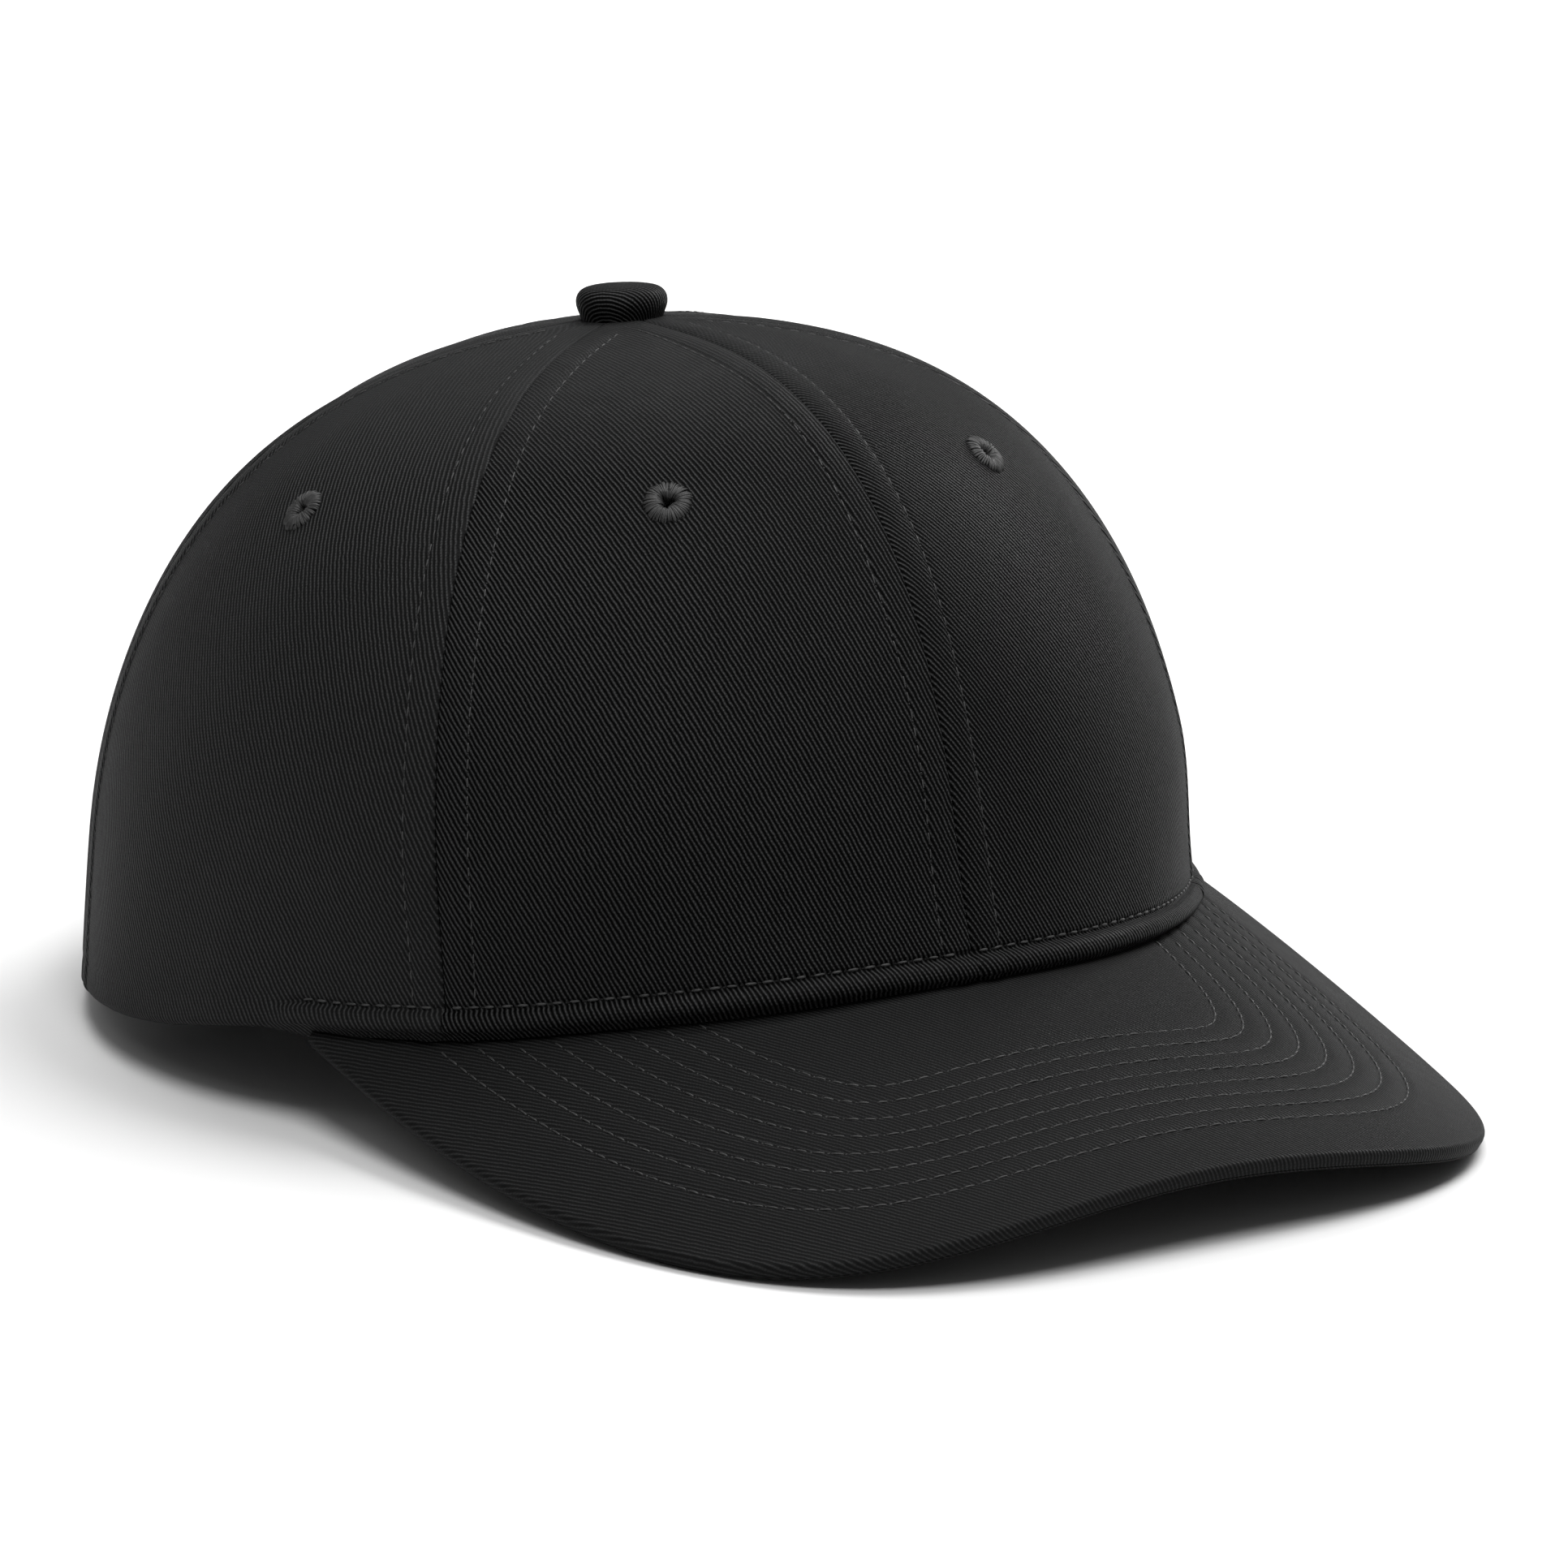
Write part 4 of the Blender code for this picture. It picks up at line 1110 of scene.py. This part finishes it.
def make_sweatband():
    start = float(back_angle(OPENING_HALF + 2.0))
    t = np.linspace(-start, start, 420)
    near_tab = smooth((t - (start - 0.42)) / 0.12)
    depth = mix(3.8, 6.0, near_tab)
    h = np.concatenate([np.linspace(0, 3, 7), np.linspace(4, 29, 22), np.linspace(30, 33, 7)])
    T, H = np.meshgrid(t, h, indexing="ij")
    v = v_at_height(T, rim_z(T) + 0.7 + H)
    pucker = 0.12 * np.sin(T * 160) * bump(H - 30.5, 2.5) + 0.1 * np.sin(T * 55 + H / 6)
    edge = 0.35 * (bump(H - 33, 0.6) + bump(H, 0.6))
    points = skin(T, v, depth[:, None] + pucker * 0.6 + edge * 0.5)
    uv = np.stack([T * 95, H], -1)
    strip("sweatband_cloth", points, uv, BAND_THICK, BAND, "sweatband")
    rows = []
    for height in (2.6, 30.4):
        vv = v_at_height(t, rim_z(t) + 0.7 + height)
        rows.append((skin(t, vv, depth + BAND_THICK + 0.05), -crown_normal(t, vv)))
    stitches("sweatband_stitches", rows, THREAD, length=2.3, pitch=3.0, radius=0.2, lift=0.04)


def make_tapes():
    over = PANEL_THICK + 2 * GAP + 0.8 + SEAM_EASE + 0.15
    plain = PANEL_THICK + GAP + SEAM_EASE
    above = float(v_at_height(np.array([PI]), OPENING_HEIGHT + 10.0)[0])
    rows = []
    for name, seam, depth, low in (
        ("tape_front", 0.0, over, 0.05),
        ("tape_front_side_left", FRONT_SEAM, over, 0.05),
        ("tape_front_side_right", -FRONT_SEAM, over, 0.05),
        ("tape_back_side_left", REAR_SEAM, plain, 0.05),
        ("tape_back_side_right", -REAR_SEAM, plain, 0.05),
        ("tape_back", PI, plain, above),
    ):
        high = float(v_at_radius(np.array([seam]), 15.0)[0])
        v = np.linspace(low, high, 90)
        base = crown(seam, v)
        radius = np.hypot(base[:, 0], base[:, 1] - TOP_Y)
        w = np.linspace(-TAPE_HALF, TAPE_HALF, 21)
        W, V = np.meshgrid(w, v, indexing="ij")
        T = seam + W / radius[None]
        ridge = 0.3 * bump(W, 1.3) + 0.1 * bump(np.abs(W) - TAPE_STITCH, 0.6)
        soft = 0.15 * bump(np.abs(W) - TAPE_HALF, 0.5)
        points = skin(T, V, depth + ridge + soft)
        uv = np.stack([W, np.broadcast_to(distance_along(base), W.shape)], -1)
        strip(name + "_cloth", points, uv, 0.45, TAPE, name)
        for side in (-TAPE_STITCH, TAPE_STITCH):
            t = seam + side / radius
            rows.append((skin(t, v, np.full_like(v, depth + 0.5)), -crown_normal(t, v)))
    stitches("tape_stitches", rows, THREAD, length=2.2, pitch=3.0, radius=0.18, lift=0.03)


def make_binding():
    first = math.asin((STRAP_MID_Z + STRAP_WIDTH / 2 + 2.5) / OPENING_HEIGHT)
    angle = np.linspace(first, PI - first, 150)
    out = np.linspace(0.3, 8.2, 15)
    A, O = np.meshgrid(angle, out, indexing="ij")
    t, v = on_back((ARCH_HALF + O) * np.cos(A), (OPENING_HEIGHT + O) * np.sin(A))
    points = skin(t, v, PANEL_THICK + GAP + SEAM_EASE + 0.12 * bump(O - 5.2, 0.7))
    strip("opening_binding_cloth", points, np.stack([A * 50, O], -1), 0.45, TAPE, "opening_binding")


make_sweatband()
make_tapes()
make_binding()


# ---------------------------------------------------------------- strap, tab and buckle
def buckle_axes():
    t = back_angle(BUCKLE_AT)
    v = v_at_height(t, STRAP_MID_Z)
    origin = crown(t, v)
    outward = crown_normal(t, v)
    along = back_skin(BUCKLE_AT + 1.0, STRAP_MID_Z, 0.0) - back_skin(BUCKLE_AT - 1.0, STRAP_MID_Z, 0.0)
    along = unit(along - outward * along.dot(outward))
    return origin, along, outward, np.cross(along, outward)


AXES = buckle_axes()


def strap_out(s):
    inside = -(PANEL_THICK + GAP + SEAM_EASE + STRAP_THICK / 2)
    over_plate = GAP + STRAP_THICK / 2
    over_tab = over_plate + TAB_THICK + 0.65
    rising = mix(inside, over_plate, smooth((s + STRAP_INSIDE) / 32.0))
    out = mix(over_plate, over_tab, smooth((s - BUCKLE_AT - 5.0) / 4.0))
    bar_end = BUCKLE_AT + BUCKLE_HALF
    falling = mix(out, inside, smooth((s - bar_end) / (STRAP_INSIDE - bar_end)))
    return np.where(s < BUCKLE_AT, rising, falling)


def band_point(s, z, out):
    origin, along, outward, up = AXES
    s, z, out = np.broadcast_arrays(np.asarray(s, float), np.asarray(z, float), np.asarray(out, float))
    flat = origin + along * (s - BUCKLE_AT)[..., None] + outward * out[..., None]
    flat = flat + up * (z - STRAP_MID_Z)[..., None]
    near = smooth((BUCKLE_HALF + 8.0 - np.abs(s - BUCKLE_AT)) / 8.0)[..., None]
    return back_skin(s, z, out) * (1 - near) + flat * near


def ribbon(name, path, width, thick, node, stitch_in=1.6):
    """A folded cloth ribbon along (s, out), with soft long edges. Returns the paths of its two stitch rows."""
    path = np.array(path)
    run = distance_along(path)
    step = unit(np.gradient(path, axis=0))
    side = np.stack([-step[:, 1], step[:, 0]], -1)
    ring = []
    w = width / 2
    e = thick / 2
    for a in np.linspace(-90, 90, 7):
        ring.append((w - e + e * math.cos(math.radians(a)), e * math.sin(math.radians(a))))
    across = [(z, e) for z in np.linspace(w - e - 1, -(w - e - 1), 13)]
    outer = ring + across
    full = outer + [(-z, -o) for z, o in outer]
    points, uvs = [], []
    for j, (z, o) in enumerate(full):
        on_face = abs(o) > e * 0.9
        dent = 0.1 * math.exp(-((abs(z) - (w - stitch_in)) / 0.5) ** 2) * math.copysign(1, o) if on_face else 0.0
        s = path[:, 0] + side[:, 0] * (o - dent)
        out = path[:, 1] + side[:, 1] * (o - dent)
        points.append(band_point(s, STRAP_MID_Z + z, out))
        uvs.append(np.stack([run, np.full_like(run, z)], -1))
    points, uvs = np.array(points), np.array(uvs)
    n, m = points.shape[:2]
    faces = []
    for i in range(n):
        for j in range(m - 1):
            a, b = i * m + j, ((i + 1) % n) * m + j
            faces.append((a, a + 1, b + 1, b))
    faces.append(tuple(i * m for i in range(n)))
    faces.append(tuple(i * m + m - 1 for i in range(n))[::-1])
    obj = mesh_object(name, points.reshape(-1, 3), faces, uvs.reshape(-1, 2))
    mesh = bmesh.new()
    mesh.from_mesh(obj.data)
    bmesh.ops.recalc_face_normals(mesh, faces=mesh.faces)
    mesh.to_mesh(obj.data)
    mesh.free()
    finish_piece(obj, TWILL["strap"], node)
    rows = []
    for z in (w - stitch_in, -(w - stitch_in)):
        s = path[:, 0] + side[:, 0] * e
        out = path[:, 1] + side[:, 1] * e
        p = band_point(s, STRAP_MID_Z + z, out)
        q = band_point(s + side[:, 0] * 0.3, STRAP_MID_Z + z, out + side[:, 1] * 0.3)
        rows.append((p, q - p))
    return rows


def make_closure():
    s = np.linspace(-STRAP_END, STRAP_END - 2.0, 240)
    path = np.stack([s, strap_out(s)], -1)
    rows = ribbon("closure_strap_cloth", path, STRAP_WIDTH, STRAP_THICK - 0.1, "closure_strap")
    bar_end = BUCKLE_AT + BUCKLE_HALF
    over = GAP + TAB_THICK / 2
    below = -(BUCKLE_PLATE + GAP + TAB_THICK / 2)
    outer_in = -(PANEL_THICK + 2 * GAP + 2 * SEAM_EASE + STRAP_THICK + TAB_THICK / 2 + 0.2)
    inner_in = outer_in - TAB_THICK - GAP
    path = []
    for i in range(61):
        a = mix(STRAP_END, bar_end, i / 60)
        path.append((a, mix(over, outer_in, float(smooth((a - bar_end) / (STRAP_INSIDE - bar_end))))))
    middle, radius = 0.5 * (over + below), 0.5 * (over - below)
    for i in range(1, 24):
        a = PI * i / 24
        path.append((bar_end - 3.2 - radius * math.sin(a) * 0.9, middle + radius * math.cos(a)))
    for i in range(61):
        a = mix(bar_end, STRAP_END, i / 60)
        path.append((a, mix(below, inner_in, float(smooth((a - bar_end) / (STRAP_INSIDE - bar_end))))))
    ribbon("buckle_tab_cloth", path[::-1], TAB_WIDTH, TAB_THICK, "buckle_tab", 1.4)
    stitches("strap_stitches", rows, THREAD, length=2.1, pitch=2.9, radius=0.17, lift=0.02)


make_closure()



def plate(obj, metal):
    obj.data.materials.clear()
    obj.data.materials.append(metal)


for node, width in (("buckle_frame", 0.22), ("buckle_lever", 0.25), ("buckle_pin", 0.12)):
    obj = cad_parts[node]
    soft = obj.modifiers.new("soft_edges", "BEVEL")
    soft.width = width * MM
    soft.segments = 3
    soft.limit_method = "ANGLE"
    soft.angle_limit = math.radians(38)
    plate(obj, STEEL if node == "buckle_pin" else NICKEL)

for node in ("button_shell", "button_rivet", "button_washer"):
    plate(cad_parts[node], STEEL)


# ---------------------------------------------------------------- floor, light and camera
def floor():
    bpy.ops.mesh.primitive_plane_add(size=12.0)
    obj = bpy.context.object
    obj.name = "floor"
    n = Nodes("pale_floor")
    n.set(Base_Color=(0.7, 0.7, 0.7, 1), Roughness=0.9)
    obj.data.materials.append(n.material)


def area_light(name, at, target, size, power):
    light = bpy.data.lights.new(name, "AREA")
    light.energy = power
    light.shape = "DISK"
    light.size = size
    obj = bpy.data.objects.new(name, light)
    bpy.context.scene.collection.objects.link(obj)
    obj.location = at
    obj.rotation_euler = (Vector(target) - Vector(at)).to_track_quat("-Z", "Y").to_euler()
    return obj


def world_light():
    world = bpy.data.worlds.new("studio")
    bpy.context.scene.world = world
    world.use_nodes = True
    back = world.node_tree.nodes["Background"]
    back.inputs["Color"].default_value = (1, 1, 1, 1)
    back.inputs["Strength"].default_value = 0.18


VIEW_AZ, VIEW_EL, VIEW_ROLL = -0.5853, 0.2607, 0.0023
VIEW_DISTANCE = 2067.1
VIEW_SCALE = 7.1953
FITTED_TILT = 0.1222
AIM_X, AIM_Y = -168.08, 196.80


def camera():
    a, e, r = VIEW_AZ, VIEW_EL, VIEW_ROLL
    back = np.array([math.sin(a) * math.cos(e), -math.cos(a) * math.cos(e), math.sin(e)])
    right = np.array([math.cos(a), math.sin(a), 0.0])
    up = np.cross(back, right)
    right, up = math.cos(r) * right + math.sin(r) * up, -math.sin(r) * right + math.cos(r) * up
    place = back * VIEW_DISTANCE - right * AIM_X / VIEW_SCALE + up * AIM_Y / VIEW_SCALE
    turn = np.array(Matrix.Rotation(FITTED_TILT - REST_TILT, 3, "X"))
    right, up, back, place = (turn @ q for q in (right, up, back, place))
    place = (place + CAP_MOVE) * MM
    data = bpy.data.cameras.new("camera")
    data.sensor_width = 36.0
    data.lens = 36.0 * VIEW_SCALE * VIEW_DISTANCE / 1932.0
    data.clip_start = 0.05
    data.clip_end = 50.0
    obj = bpy.data.objects.new("camera", data)
    bpy.context.scene.collection.objects.link(obj)
    matrix = Matrix.Identity(4)
    for i in range(3):
        matrix[i][0], matrix[i][1], matrix[i][2], matrix[i][3] = right[i], up[i], back[i], place[i]
    obj.matrix_world = matrix
    bpy.context.scene.camera = obj


floor()
world_light()
area_light("overhead", (0.0, 0.2, 2.0), (0, 0, 0.06), 1.2, 4.5)
area_light("front", (-0.5, -0.8, 1.9), (0, 0, 0.06), 1.0, 25.0)
area_light("right", (0.85, -0.22, 1.85), (0, 0, 0.06), 1.0, 31.0)
area_light("left", (-1.1, 0.2, 1.6), (0, 0, 0.06), 1.0, 2.0)
area_light("rear", (1.9, 0.85, 0.74), (0, 0, 0.1), 0.9, 12.5)
backdrop = area_light("backdrop", (0.6, 1.0, 1.3), (0.55, 0.95, 0.0), 1.4, 9.0)
backdrop.data.spread = math.radians(90.0)
camera()
bpy.context.scene.view_settings.view_transform = "Standard"
